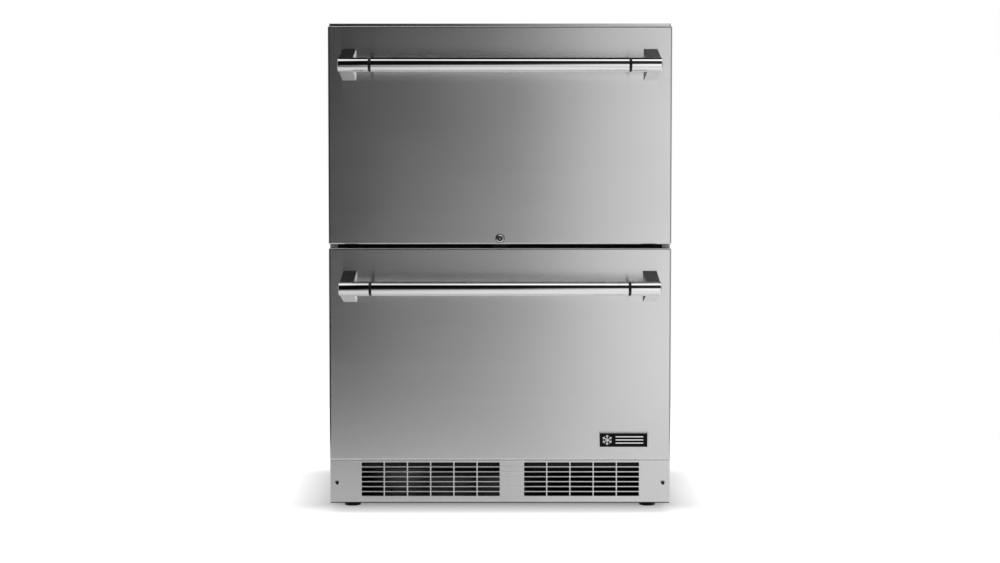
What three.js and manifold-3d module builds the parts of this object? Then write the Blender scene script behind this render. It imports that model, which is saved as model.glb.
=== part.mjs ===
// Two-drawer under counter refrigerator, in millimetres.
// The front faces -Y, +X is to the right seen from the front, and +Z is up from the floor.
import * as THREE from 'three';
import { mergeVertices } from 'three/addons/utils/BufferGeometryUtils.js';
import Module from 'manifold-3d';

const wasm = await Module();
wasm.setup();

// Driving dimensions
const WIDTH = 606.4;
const HEIGHT = 872;
const DEPTH = 610; // drawer face to rear panel
const BAR_RADIUS = 12.5;
const BAR_STANDOFF = 51; // drawer face to handle axis
const SHEET = 1.2;
const GAP = 0.3; // between pieces that touch
const FRONT_THICKNESS = 30;
const GASKET_GAP = 10;
const DRAWER_FRONTS = {
  upper: { bottom: 482, top: 867 },
  lower: { bottom: 97, top: 475.5 },
};
const HANDLE_DROP = 67.75; // drawer front's top edge to handle axis
const GRILLE = { bottom: 18, top: 95, setback: 14, sheet: 1.5 };
const FOOT = { x: 268, frontY: -172, rearY: 290, radius: 15 };
const SLIDE_LENGTH = 400;

// Places worked out from them
const HALF = WIDTH / 2;
const REACH = BAR_STANDOFF + BAR_RADIUS;
const FACE_Y = REACH - (DEPTH + REACH) / 2;
const BACK_Y = FACE_Y + DEPTH;
const FRONT_BACK_Y = FACE_Y + FRONT_THICKNESS;
const FRAME_Y = FRONT_BACK_Y + GASKET_GAP;
const INSIDE_X = HALF - SHEET - GAP; // what fits between the side panels
const FRAME_SHEET = 2;
const FOAM_FRONT_Y = FRAME_Y + FRAME_SHEET + GAP;
const INSIDE_BACK_Y = BACK_Y - SHEET - GAP;
const BASE_Z = 20;
const TOP_FLANGE = 12;
const ROOF_Z = HEIGHT - SHEET - GAP; // top of everything under the top panel

// Insulated cell: the two compartments share one liner with a step over the machine space
const CELL = { x: 250, floor: 124, roof: 821, back: 281, stepY: 68, stepZ: 345, sheet: 2 };
const MACHINE = { floorZ: 75, frontY: 110, roofZ: 300 };
const RAIL = { bottom: 438, top: 521, depth: 40 };
const FLANGE = 14; // front return of a side panel

// Storage boxes and slides
const SLIDE = { height: 45, thickness: 12.7, frontY: -228 };
const BOXES = {
  upper: { bottom: 535, top: 705, back: 180, slideZ: 662 },
  lower: { bottom: 140, top: 404, back: 50, slideZ: 376 },
};
const BOX_SHEET = 1.5;
const BOX_X = CELL.x - GAP - SLIDE.thickness - GAP;

const LOCK = { z: 492.6, ringRadius: 8, barrelRadius: 7, boreRadius: 4.8, plugRadius: 4.5, reach: 26 };
const BADGE = { x: 219.5, z: 133.8, width: 88, height: 27.5, thickness: 2.2 };

// ---------------------------------------------------------------- shapes

function solid(geometry) {
  const bare = geometry.clone();
  bare.deleteAttribute('normal');
  bare.deleteAttribute('uv');
  const merged = mergeVertices(bare, 1e-4);
  return new wasm.Manifold(new wasm.Mesh({
    numProp: 3,
    vertProperties: new Float32Array(merged.attributes.position.array),
    triVerts: new Uint32Array(merged.index.array),
  }));
}

function geometryOf(manifold) {
  const mesh = manifold.getMesh();
  const geometry = new THREE.BufferGeometry();
  geometry.setAttribute('position', new THREE.BufferAttribute(mesh.vertProperties, 3));
  geometry.setIndex(new THREE.BufferAttribute(mesh.triVerts, 1));
  return geometry;
}

function join(...geometries) {
  return geometryOf(geometries.map(solid).reduce((all, next) => all.add(next)));
}

function cut(geometry, ...tools) {
  return geometryOf(tools.map(solid).reduce((rest, tool) => rest.subtract(tool), solid(geometry)));
}

function box([x0, x1], [y0, y1], [z0, z1]) {
  const geometry = new THREE.BoxGeometry(x1 - x0, y1 - y0, z1 - z0);
  return geometry.translate((x0 + x1) / 2, (y0 + y1) / 2, (z0 + z1) / 2);
}

// Cylinder about the axis that its name gives, from low to high along it
function cylinderX(radius, [x0, x1], [y, z], sides = 32) {
  const geometry = new THREE.CylinderGeometry(radius, radius, x1 - x0, sides);
  return geometry.rotateZ(Math.PI / 2).translate((x0 + x1) / 2, y, z);
}

function cylinderY(radius, [x, z], [y0, y1], sides = 32) {
  return new THREE.CylinderGeometry(radius, radius, y1 - y0, sides).translate(x, (y0 + y1) / 2, z);
}

function cylinderZ(radius, [x, y], [z0, z1], sides = 32) {
  const geometry = new THREE.CylinderGeometry(radius, radius, z1 - z0, sides);
  return geometry.rotateX(Math.PI / 2).translate(x, y, (z0 + z1) / 2);
}

function outline(points) {
  return new THREE.Shape(points.map(([u, v]) => new THREE.Vector2(u, v)));
}

// Outline in (y, z), extruded along X
function extrudeX(shape, [x0, x1]) {
  const geometry = new THREE.ExtrudeGeometry(shape, { depth: x1 - x0, bevelEnabled: false });
  const basis = new THREE.Matrix4().makeBasis(
    new THREE.Vector3(0, 1, 0),
    new THREE.Vector3(0, 0, 1),
    new THREE.Vector3(1, 0, 0),
  );
  return geometry.applyMatrix4(basis).translate(x0, 0, 0);
}

// Outline in (x, z), extruded from the high y down to the low y
function extrudeY(shape, [y0, y1], options = { bevelEnabled: false }) {
  const geometry = new THREE.ExtrudeGeometry(shape, { depth: y1 - y0, ...options });
  return geometry.rotateX(Math.PI / 2).translate(0, y1, 0);
}

function ring(outer, inner, [y0, y1]) {
  return cut(box(outer[0], [y0, y1], outer[1]), box(inner[0], [y0 - 1, y1 + 1], inner[1]));
}

function pipe(points, radius, steps, sides = 8) {
  const circle = new THREE.Shape().absarc(0, 0, radius, 0, 2 * Math.PI);
  const path = new THREE.CatmullRomCurve3(points.map((p) => new THREE.Vector3(...p)), false, 'centripetal');
  return new THREE.ExtrudeGeometry(circle, { steps, extrudePath: path, curveSegments: sides / 2 });
}

// ---------------------------------------------------------------- materials

function material(color, roughness, metalness) {
  return new THREE.MeshStandardMaterial({ color, roughness, metalness });
}

const STAINLESS = material(0xc4c6c8, 0.34, 1);
const POLISHED = material(0xe2e4e6, 0.12, 1);
const GALVANISED = material(0xa9adb0, 0.5, 1);
const ALUMINIUM = material(0xd2d4d5, 0.42, 1);
const BLACK_STEEL = material(0x17181a, 0.45, 0.3);
const BLACK_PLASTIC = material(0x1a1a1c, 0.55, 0);
const RUBBER = material(0x2a2b2d, 0.8, 0);
const FOAM = material(0xe3d7ab, 0.95, 0);
const COPPER = material(0xb9714a, 0.35, 1);

// ---------------------------------------------------------------- cabinet

function sidePanel(side) {
  const [inner, outer] = [HALF - SHEET, HALF];
  const sheet = box([inner, outer], [FRAME_Y, BACK_Y], [GRILLE.bottom, ROOF_Z]);
  const flangeTop = HEIGHT - TOP_FLANGE - GAP;
  const flange = box([HALF - FLANGE, outer], [FRAME_Y, FRAME_Y + SHEET], [MACHINE.floorZ, flangeTop]);
  const panel = join(sheet, flange);
  return side > 0 ? panel : mirrored(panel);
}

function mirrored(geometry) {
  return geometryOf(solid(geometry).mirror([1, 0, 0]));
}

function topPanel() {
  const sheet = box([-HALF, HALF], [FRAME_Y, BACK_Y], [HEIGHT - SHEET, HEIGHT]);
  const y = [FRAME_Y, FRAME_Y + SHEET];
  return join(sheet, box([-INSIDE_X, INSIDE_X], y, [HEIGHT - TOP_FLANGE, HEIGHT]));
}

function rearPanel() {
  return box([-INSIDE_X, INSIDE_X], [BACK_Y - SHEET, BACK_Y], [MACHINE.roofZ + SHEET + GAP, ROOF_Z]);
}

function faceFrame() {
  const x = HALF - FLANGE - GAP;
  const openX = CELL.x + CELL.sheet;
  const y = [FRAME_Y, FRAME_Y + FRAME_SHEET];
  const through = [FRAME_Y - 1, FRAME_Y + FRAME_SHEET + 1];
  const top = HEIGHT - TOP_FLANGE - GAP;
  return cut(
    box([-x, x], y, [MACHINE.floorZ, top]),
    box([-openX, openX], through, [CELL.floor - CELL.sheet, RAIL.bottom]),
    box([-openX, openX], through, [RAIL.top, CELL.roof + CELL.sheet]),
  );
}

// Stepped side outline of the cell, grown outwards by a margin and starting at a given front
function cellOutline(margin, front) {
  const floor = CELL.floor - margin;
  const roof = CELL.roof + margin;
  const stepY = CELL.stepY + margin;
  const stepZ = CELL.stepZ - margin;
  const back = CELL.back + margin;
  return outline([
    [front, floor],
    [stepY, floor],
    [stepY, stepZ],
    [back, stepZ],
    [back, roof],
    [front, roof],
  ]);
}

function innerLiner() {
  const outerX = CELL.x + CELL.sheet;
  const shell = extrudeX(cellOutline(CELL.sheet, FOAM_FRONT_Y), [-outerX, outerX]);
  return cut(shell, extrudeX(cellOutline(0, FOAM_FRONT_Y - 5), [-CELL.x, CELL.x]));
}

function foamInsulation() {
  const floor = MACHINE.floorZ + SHEET + GAP;
  const stepY = MACHINE.frontY - SHEET - GAP;
  const stepZ = MACHINE.roofZ + SHEET + GAP;
  const side = outline([
    [FOAM_FRONT_Y, floor],
    [stepY, floor],
    [stepY, stepZ],
    [INSIDE_BACK_Y, stepZ],
    [INSIDE_BACK_Y, ROOF_Z - GAP],
    [FOAM_FRONT_Y, ROOF_Z - GAP],
  ]);
  const margin = CELL.sheet + GAP;
  const hollow = extrudeX(cellOutline(margin, FOAM_FRONT_Y - 5), [-CELL.x - margin, CELL.x + margin]);
  return cut(extrudeX(side, [-INSIDE_X, INSIDE_X]), hollow);
}

function machineRoofPanel() {
  const { floorZ, frontY, roofZ } = MACHINE;
  const side = outline([
    [FOAM_FRONT_Y, floorZ],
    [frontY, floorZ],
    [frontY, roofZ],
    [INSIDE_BACK_Y, roofZ],
    [INSIDE_BACK_Y, roofZ + SHEET],
    [frontY - SHEET, roofZ + SHEET],
    [frontY - SHEET, floorZ + SHEET],
    [FOAM_FRONT_Y, floorZ + SHEET],
  ]);
  return extrudeX(side, [-INSIDE_X, INSIDE_X]);
}

function centreRail() {
  const x = CELL.x - GAP;
  const y = [FOAM_FRONT_Y, FOAM_FRONT_Y + RAIL.depth];
  const hollowX = x - 20;
  const shell = box([-x, x], y, [RAIL.bottom, RAIL.top]);
  const hollow = box([-hollowX, hollowX], [y[0] + 2, y[1] + 1], [RAIL.bottom + 2, RAIL.top - 2]);
  return cut(shell, hollow);
}

function basePan() {
  const frontY = FACE_Y + GRILLE.setback + GRILLE.sheet + GAP;
  const [floor, wallTop, lipTop] = [BASE_Z + SHEET, BASE_Z + 30, BASE_Z + 8];
  const pan = join(
    box([-INSIDE_X, INSIDE_X], [frontY, INSIDE_BACK_Y], [BASE_Z, floor]),
    box([-INSIDE_X, -INSIDE_X + SHEET], [frontY, INSIDE_BACK_Y], [BASE_Z, wallTop]),
    box([INSIDE_X - SHEET, INSIDE_X], [frontY, INSIDE_BACK_Y], [BASE_Z, wallTop]),
    box([-INSIDE_X, INSIDE_X], [frontY, frontY + SHEET], [BASE_Z, lipTop]),
    ...footPlaces().map((at) => cylinderZ(11, at, [BASE_Z, BASE_Z + 26], 20)),
  );
  const stud = FOOT_STUD_RADIUS + 0.6;
  return cut(pan, ...footPlaces().map((at) => cylinderZ(stud, at, [BASE_Z - 5, BASE_Z + 40], 20)));
}

const FOOT_STUD_RADIUS = 5;

function footPlaces() {
  return [
    [-FOOT.x, FOOT.frontY],
    [FOOT.x, FOOT.frontY],
    [-FOOT.x, FOOT.rearY],
    [FOOT.x, FOOT.rearY],
  ];
}

// Pad, hexagon for the wrench and threaded stud
function levellingFoot([x, y]) {
  return join(
    new THREE.CylinderGeometry(FOOT.radius - 2, FOOT.radius, 7, 28)
      .rotateX(Math.PI / 2).translate(x, y, 3.5),
    cylinderZ(9, [x, y], [6, 11.5], 6),
    cylinderZ(FOOT_STUD_RADIUS, [x, y], [6, 42], 20),
  );
}

// Folded front grille with a blank column between its two fields of slots
function kickGrille() {
  const frontY = FACE_Y + GRILLE.setback;
  const sheet = GRILLE.sheet;
  const z = [GRILLE.bottom, GRILLE.top];
  const body = join(
    box([-HALF, HALF], [frontY, frontY + sheet], z),
    box([-HALF, -HALF + sheet], [frontY, FRAME_Y - GAP], z),
    box([HALF - sheet, HALF], [frontY, FRAME_Y - GAP], z),
    box([-HALF, HALF], [frontY, frontY + 16], [GRILLE.top - sheet, GRILLE.top]),
  );
  return cut(body, ...grilleSlots(frontY));
}

function grilleSlots(frontY) {
  const [columns, rows, blank] = [12, 7, 6];
  const [pitchX, pitchZ, width, height] = [41.46, 8.9, 38.5, 6.6];
  const firstX = -((columns - 1) * pitchX) / 2;
  const firstZ = 32.3;
  const slots = [];
  for (let column = 0; column < columns; column += 1) {
    if (column === blank) continue;
    const x = firstX + column * pitchX;
    for (let row = 0; row < rows; row += 1) {
      const z = firstZ + row * pitchZ;
      const spanX = [x - width / 2, x + width / 2];
      slots.push(box(spanX, [frontY - 1, frontY + 3], [z - height / 2, z + height / 2]));
    }
  }
  return slots;
}

function rearVentCover() {
  const y = [BACK_Y - SHEET, BACK_Y];
  const plate = box([-INSIDE_X, INSIDE_X], y, [BASE_Z, MACHINE.roofZ + SHEET]);
  const slots = [];
  for (const x of [-200, -100, 0]) {
    for (let row = 0; row < 10; row += 1) {
      const z = 70 + row * 22;
      slots.push(box([x - 40, x + 40], [y[0] - 1, y[1] + 1], [z, z + 8]));
    }
  }
  const inlet = box([INLET.x - 25, INLET.x + 25], [y[0] - 1, y[1] + 1], [INLET.z - 15, INLET.z + 15]);
  return cut(plate, inlet, ...slots);
}

const INLET = { x: 210, z: 80 };

// Recessed mains inlet with three contact blades
function powerInlet() {
  const { x, z } = INLET;
  const [frontY, backY] = [BACK_Y - 22, BACK_Y - 0.2];
  const body = box([x - 24.5, x + 24.5], [frontY, backY], [z - 14.5, z + 14.5]);
  const socket = box([x - 13, x + 13], [frontY + 3, backY + 1], [z - 9, z + 9]);
  const blade = (dx, dz) => box([x + dx - 1, x + dx + 1], [frontY + 2, backY - 5], [z + dz - 2, z + dz + 2]);
  return join(cut(body, socket), blade(-7, -2), blade(0, 3), blade(7, -2));
}

// Hooked plate on the centre rail that the lock's cam turns behind
function lockStrike() {
  const half = 13;
  const plateY = FRAME_Y - GAP;
  return join(
    box([-half, half], [plateY - 1.4, plateY], [462, 500]),
    box([-half, half], [plateY - 7.7, plateY], [462, 463.5]),
    box([-half, half], [plateY - 7.7, plateY - 5.7], [462, 476]),
  );
}

// ---------------------------------------------------------------- cooling system

const COMPRESSOR = { x: 150, y: 222, radius: 70 };

function compressor() {
  const { x, y, radius } = COMPRESSOR;
  const profile = [
    [0, 36],
    [radius - 12, 36],
    [radius, 48],
    [radius, 115],
    [radius + 3, 117],
    [radius + 3, 123],
    [radius, 125],
    [radius - 2, 165],
    [radius - 18, 192],
    [radius - 42, 204],
    [0, 208],
  ].map(([r, z]) => new THREE.Vector2(r, z));
  const shell = new THREE.LatheGeometry(profile, 28).rotateX(Math.PI / 2).translate(x, y, 0);
  const plate = box([x - 78, x + 78], [y - 62, y + 62], [33, 37]);
  const grommets = [-64, 64].flatMap((dx) => [-48, 48].map((dy) => (
    cylinderZ(9, [x + dx, y + dy], [BASE_Z + SHEET + GAP, 34], 12)
  )));
  const terminals = box([x - 22, x + 22], [y - radius - 22, y - radius + 14], [90, 140]);
  return join(shell, plate, terminals, ...grommets);
}

// Finned block with its fins open on one side
function finBlock(x, y, z, fins, spine) {
  const [x0, x1] = x;
  const pitch = (y[1] - y[0]) / (fins - 0.5);
  const points = [[x0, y[0]]];
  for (let i = 0; i < fins; i += 1) {
    const start = y[0] + i * pitch;
    const end = Math.min(start + pitch / 2, y[1]);
    points.push([x1, start], [x1, end]);
    if (i < fins - 1) points.push([x0 + spine, end], [x0 + spine, start + pitch]);
  }
  points.push([x0, y[1]]);
  const depth = z[1] - z[0];
  const clean = points.filter((p, i) => i === 0 || p[0] !== points[i - 1][0] || p[1] !== points[i - 1][1]);
  return new THREE.ExtrudeGeometry(outline(clean), { depth, bevelEnabled: false }).translate(0, 0, z[0]);
}

const CONDENSER_FAN = { y: 225, z: 150, radius: 82, x: -232 };

function condenserCoil() {
  return finBlock([-292, -250], [135, 315], [58, 250], 20, 6);
}

function condenserShroud() {
  const { y, z, radius } = CONDENSER_FAN;
  const plate = box([-246, -244], [y - 95, y + 95], [BASE_Z + SHEET + GAP, 252]);
  const collar = cylinderX(radius + 5, [-246, -222], [y, z], 36);
  return cut(join(plate, collar), cylinderX(radius + 3, [-250, -200], [y, z], 36));
}

function condenserMotor() {
  const { y, z, radius } = CONDENSER_FAN;
  const reach = radius + 10;
  return join(
    cylinderX(28, [-206, -166], [y, z], 24),
    box([-210, -205], [y - reach, y + reach], [z - 7, z + 7]),
    box([-243.7, -205], [y - reach, y - reach + 3], [z - 7, z + 7]),
    box([-243.7, -205], [y + reach - 3, y + reach], [z - 7, z + 7]),
  );
}

// Hub and pitched blades of a fan on the X axis through the origin
function fanWheel(radius, hubRadius, hubLength, blades) {
  const hub = cylinderX(hubRadius, [-hubLength / 2, hubLength / 2], [0, 0], 24);
  const blade = (turn) => {
    const plate = new THREE.BoxGeometry(2, radius * 0.52, radius - hubRadius + 4);
    plate.translate(0, 0, hubRadius - 4 + (radius - hubRadius + 4) / 2);
    return plate.rotateZ(0.6).rotateX(turn);
  };
  const set = [];
  for (let i = 0; i < blades; i += 1) set.push(blade((i * 2 * Math.PI) / blades));
  return join(hub, ...set);
}

function condenserFan() {
  const { x, y, z, radius } = CONDENSER_FAN;
  return fanWheel(radius - 4, 20, 22, 5).translate(x, y, z);
}

function drainPan() {
  const [x, y, z] = [[-130, 55], [140, 320], [BASE_Z + SHEET + GAP, 52]];
  return cut(box(x, y, z), box([x[0] + 1.5, x[1] - 1.5], [y[0] + 1.5, y[1] - 1.5], [z[0] + 1.5, z[1] + 1]));
}

function dischargeLine() {
  const { x, radius } = COMPRESSOR;
  const start = x - radius + 4;
  return pipe([
    [start - 10, 190, 170],
    [start - 40, 180, 215],
    [-40, 175, 262],
    [-150, 175, 268],
    [-262, 180, 268],
    [-272, 180, 256],
  ], 3.5, 22);
}

const EVAPORATOR = { x: 195, frontY: 218, bottom: 545, top: 765, fanZ: 700, fanRadius: 50 };

function evaporatorCoil() {
  const y = [EVAPORATOR.frontY + 18, CELL.back - 3];
  const geometry = finBlock([0, y[1] - y[0]], [-150, 150], [0, 78], 26, 6);
  return geometry.rotateZ(-Math.PI / 2).translate(0, y[1], EVAPORATOR.bottom + 12);
}

function evaporatorCover() {
  const { x, frontY, bottom, top, fanZ, fanRadius } = EVAPORATOR;
  const shell = cut(
    box([-x, x], [frontY, CELL.back - GAP], [bottom, top]),
    box([-x + SHEET, x - SHEET], [frontY + SHEET, CELL.back + 5], [bottom + SHEET, top - SHEET]),
  );
  const slots = [];
  for (let i = -6; i <= 6; i += 1) {
    slots.push(box([i * 24 - 8, i * 24 + 8], [frontY - 1, frontY + 3], [bottom + 14, bottom + 50]));
  }
  return cut(shell, cylinderY(fanRadius + 5, [0, fanZ], [frontY - 1, frontY + 3], 36), ...slots);
}

function evaporatorMotor() {
  const { frontY, fanZ, fanRadius } = EVAPORATOR;
  const reach = fanRadius + 14;
  const y = [frontY + 32, frontY + 35];
  return join(
    cylinderY(20, [0, fanZ], [frontY + 28, frontY + 56], 24),
    box([-reach, reach], y, [fanZ - 6, fanZ + 6]),
    box([-reach, -reach + 3], [frontY + SHEET + GAP, y[1]], [fanZ - 6, fanZ + 6]),
    box([reach - 3, reach], [frontY + SHEET + GAP, y[1]], [fanZ - 6, fanZ + 6]),
  );
}

function evaporatorFan() {
  const { frontY, fanZ, fanRadius } = EVAPORATOR;
  return fanWheel(fanRadius - 2, 13, 16, 5).rotateZ(Math.PI / 2).translate(0, frontY + 15, fanZ);
}

// ---------------------------------------------------------------- drawers

function frontSpan(level, inset = 0) {
  const { bottom, top } = DRAWER_FRONTS[level];
  return [bottom + inset, top - inset];
}

// Folded outer skin with rounded front edges, open at the back
function frontSkin(level) {
  const radius = 2.4;
  const z = frontSpan(level, radius);
  const x = HALF - radius;
  const face = outline([[-x, z[0]], [x, z[0]], [x, z[1]], [-x, z[1]]]);
  const bevel = { bevelEnabled: true, bevelThickness: radius, bevelSize: radius, bevelSegments: 3 };
  const block = extrudeY(face, [FACE_Y + radius, FRONT_BACK_Y + 5], bevel);
  const inner = frontSpan(level, SHEET);
  const skin = cut(
    block,
    box([-HALF - 5, HALF + 5], [FRONT_BACK_Y, FRONT_BACK_Y + 20], frontSpan(level, -5)),
    box([-HALF + SHEET, HALF - SHEET], [FACE_Y + SHEET, FRONT_BACK_Y + 5], inner),
  );
  return level === 'upper' ? cut(skin, lockHole()) : skin;
}

function lockHole() {
  return cylinderY(LOCK.barrelRadius + GAP, [0, LOCK.z], [FACE_Y - 5, FACE_Y + 5], 28);
}

// Clears the lock barrel out of the sheets and foam behind the skin
function lockNotch() {
  const half = LOCK.barrelRadius + GAP;
  return box([-half, half], [FACE_Y, FRAME_Y], [DRAWER_FRONTS.upper.bottom - 5, LOCK.z + half]);
}

function frontFoam(level) {
  const y = [FACE_Y + SHEET + GAP, FRONT_BACK_Y - FRAME_SHEET - GAP];
  const foam = box([-INSIDE_X, INSIDE_X], y, frontSpan(level, SHEET + GAP));
  return level === 'upper' ? cut(foam, lockNotch()) : foam;
}

function frontInnerPanel(level) {
  const y = [FRONT_BACK_Y - FRAME_SHEET, FRONT_BACK_Y];
  const panel = box([-INSIDE_X, INSIDE_X], y, frontSpan(level, SHEET + GAP));
  return level === 'upper' ? cut(panel, lockNotch()) : panel;
}

function gasket(level) {
  const width = 16;
  const [x, z] = level === 'upper' ? [296, [500, 852]] : [296, [104, 458]];
  const inner = [[-x + width, x - width], [z[0] + width, z[1] - width]];
  return ring([[-x, x], z], inner, [FRONT_BACK_Y + GAP, FRAME_Y - GAP]);
}

const HANDLE = { end: 282.7, ring: 227, ringWidth: 3.3, postInner: 256, postOuter: 281, postHalf: 27.6 };

function handleZ(level) {
  return DRAWER_FRONTS[level].top - HANDLE_DROP;
}

function handleTube(level) {
  const at = [FACE_Y - BAR_STANDOFF, handleZ(level)];
  const x = HANDLE.ring - HANDLE.ringWidth / 2;
  const tube = cylinderX(BAR_RADIUS, [-x, x], at, 36);
  return cut(tube, cylinderX(BAR_RADIUS - 1.5, [-x - 1, x + 1], at, 36));
}

// Cast end piece: a round stub that meets the tube and a wedge-shaped post down to the drawer face
function handlePost(level, side) {
  const z = handleZ(level);
  const axisY = FACE_Y - BAR_STANDOFF;
  const stub = cylinderX(BAR_RADIUS, [HANDLE.ring + HANDLE.ringWidth / 2, HANDLE.end], [axisY, z], 36);
  const inside = BAR_RADIUS - 0.2;
  const baseY = FACE_Y - GAP;
  const wedge = outline([
    [baseY, z - HANDLE.postHalf],
    [baseY, z + HANDLE.postHalf],
    [axisY + 3, z + inside],
    [axisY, z + inside * 0.9],
    [axisY, z - inside * 0.9],
    [axisY + 3, z - inside],
  ].reverse());
  const post = join(stub, extrudeX(wedge, [HANDLE.postInner, HANDLE.postOuter]));
  return side > 0 ? post : mirrored(post);
}

function storageBox(level) {
  const { bottom, top, back } = BOXES[level];
  const front = FRONT_BACK_Y + GAP;
  return cut(
    box([-BOX_X, BOX_X], [front, back], [bottom, top]),
    box([-BOX_X + BOX_SHEET, BOX_X - BOX_SHEET], [front + BOX_SHEET, back - BOX_SHEET],
      [bottom + BOX_SHEET, top + 5]),
  );
}

// Channel section of one slide member: web at one side, two flanges towards the storage box
function slideChannel(level, side, [webOut, webIn, flangeIn], halfHeight, [y0, y1]) {
  const z = BOXES[level].slideZ;
  const wall = 1.5;
  const channel = join(
    box([webIn, webOut], [y0, y1], [z - halfHeight, z + halfHeight]),
    box([flangeIn, webOut], [y0, y1], [z + halfHeight - wall, z + halfHeight]),
    box([flangeIn, webOut], [y0, y1], [z - halfHeight, z - halfHeight + wall]),
  );
  return side > 0 ? channel : mirrored(channel);
}

function slideOuter(level, side) {
  const out = CELL.x - GAP;
  const y = [SLIDE.frontY, SLIDE.frontY + SLIDE_LENGTH];
  return slideChannel(level, side, [out, out - 1.5, out - 11], SLIDE.height / 2, y);
}

function slideMiddle(level, side) {
  const out = CELL.x - GAP - 3.5;
  const y = [SLIDE.frontY + 3, SLIDE.frontY + SLIDE_LENGTH - 3];
  return slideChannel(level, side, [out, out - 1.5, out - 7], SLIDE.height / 2 - 4, y);
}

// The inner member's web is against the storage box and its flanges point out into the middle one
function slideInner(level, side) {
  const web = BOX_X + GAP;
  const y = [SLIDE.frontY + 1, SLIDE.frontY + SLIDE_LENGTH - 1];
  const z = BOXES[level].slideZ;
  const [half, wall, reach] = [SLIDE.height / 2 - 8, 1.5, 6];
  const channel = join(
    box([web, web + wall], y, [z - half, z + half]),
    box([web, web + reach], y, [z + half - wall, z + half]),
    box([web, web + reach], y, [z - half, z - half + wall]),
  );
  return side > 0 ? channel : mirrored(channel);
}

function lockBody() {
  const at = [0, LOCK.z];
  const body = join(
    cylinderY(LOCK.ringRadius, at, [FACE_Y - GAP - 2, FACE_Y - GAP], 32),
    cylinderY(LOCK.barrelRadius, at, [FACE_Y - GAP - 1, FRAME_Y - 5.8], 28),
  );
  return cut(body, cylinderY(LOCK.boreRadius, at, [FACE_Y - 10, FRAME_Y], 28));
}

// Key plug with its keyway, and the cam on its inner end
function lockCam() {
  const at = [0, LOCK.z];
  const front = FACE_Y - GAP - 2.3;
  const cam = [FRAME_Y - 5, FRAME_Y - 2.5];
  const plug = cylinderY(LOCK.plugRadius, at, [front, cam[1]], 28);
  const keyway = box([-0.8, 0.8], [front - 1, front + 8], [LOCK.z - 3.2, LOCK.z + 2.2]);
  return join(cut(plug, keyway), box([-5, LOCK.reach], cam, [LOCK.z - 5, LOCK.z + 5]));
}

function badgePlate() {
  const { x, z, width, height, thickness } = BADGE;
  const y = [FACE_Y - GAP - thickness, FACE_Y - GAP];
  return box([x - width / 2, x + width / 2], y, [z - height / 2, z + height / 2]);
}

// ---------------------------------------------------------------- assembly

function part(name, geometry, surface) {
  const mesh = new THREE.Mesh(geometry, surface);
  mesh.name = name;
  return mesh;
}

function body(name, ...parts) {
  const group = new THREE.Group();
  group.name = name;
  group.add(...parts);
  return group;
}

const SIDES = [['left', -1], ['right', 1]];
const LEVELS = ['upper', 'lower'];

function cabinet() {
  return body(
    'cabinet',
    ...SIDES.map(([word, side]) => part(`side_panel_${word}`, sidePanel(side), STAINLESS)),
    part('top_panel', topPanel(), STAINLESS),
    part('rear_panel', rearPanel(), GALVANISED),
    part('face_frame', faceFrame(), BLACK_PLASTIC),
    part('inner_liner', innerLiner(), ALUMINIUM),
    part('foam_insulation', foamInsulation(), FOAM),
    part('machine_roof_panel', machineRoofPanel(), GALVANISED),
    part('centre_rail', centreRail(), BLACK_PLASTIC),
    part('base_pan', basePan(), GALVANISED),
    part('kick_grille', kickGrille(), STAINLESS),
    part('rear_vent_cover', rearVentCover(), GALVANISED),
    part('power_inlet', powerInlet(), BLACK_PLASTIC),
    part('lock_strike', lockStrike(), GALVANISED),
    part('compressor', compressor(), BLACK_STEEL),
    part('condenser_coil', condenserCoil(), ALUMINIUM),
    part('condenser_fan_shroud', condenserShroud(), BLACK_STEEL),
    part('condenser_fan_motor', condenserMotor(), BLACK_STEEL),
    part('discharge_line', dischargeLine(), COPPER),
    part('drain_pan', drainPan(), BLACK_PLASTIC),
    part('evaporator_coil', evaporatorCoil(), ALUMINIUM),
    part('evaporator_cover', evaporatorCover(), ALUMINIUM),
    part('evaporator_fan_motor', evaporatorMotor(), BLACK_STEEL),
    ...LEVELS.flatMap((level) => SIDES.map(([word, side]) => (
      part(`${level}_slide_outer_${word}`, slideOuter(level, side), GALVANISED)
    ))),
  );
}

function drawer(level) {
  const handed = (name, make, surface) => SIDES.map(([word, side]) => (
    part(`${level}_${name}_${word}`, make(level, side), surface)
  ));
  return body(
    `${level}_drawer`,
    part(`${level}_front_skin`, frontSkin(level), STAINLESS),
    part(`${level}_front_foam`, frontFoam(level), FOAM),
    part(`${level}_front_inner_panel`, frontInnerPanel(level), ALUMINIUM),
    part(`${level}_gasket`, gasket(level), RUBBER),
    part(`${level}_handle_tube`, handleTube(level), POLISHED),
    ...handed('handle_post', handlePost, POLISHED),
    part(`${level}_storage_box`, storageBox(level), STAINLESS),
    ...handed('slide_inner', slideInner, GALVANISED),
  );
}

function middleSlides() {
  return LEVELS.flatMap((level) => SIDES.map(([word, side]) => (
    part(`${level}_slide_middle_${word}`, slideMiddle(level, side), GALVANISED)
  )));
}

function feet() {
  const names = ['front_left', 'front_right', 'rear_left', 'rear_right'];
  return footPlaces().map((at, i) => part(`foot_${names[i]}`, levellingFoot(at), GALVANISED));
}

const group = new THREE.Group();
group.add(
  cabinet(),
  ...LEVELS.map(drawer),
  ...middleSlides(),
  ...feet(),
  part('condenser_fan', condenserFan(), BLACK_PLASTIC),
  part('evaporator_fan', evaporatorFan(), BLACK_PLASTIC),
  part('lock_body', lockBody(), POLISHED),
  part('lock_cam', lockCam(), POLISHED),
  part('badge_plate', badgePlate(), POLISHED),
);

export default group;
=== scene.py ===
"""Looks for a two-drawer under counter refrigerator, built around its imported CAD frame."""
import math

import bmesh
import bpy
from mathutils import Matrix, Vector


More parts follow.
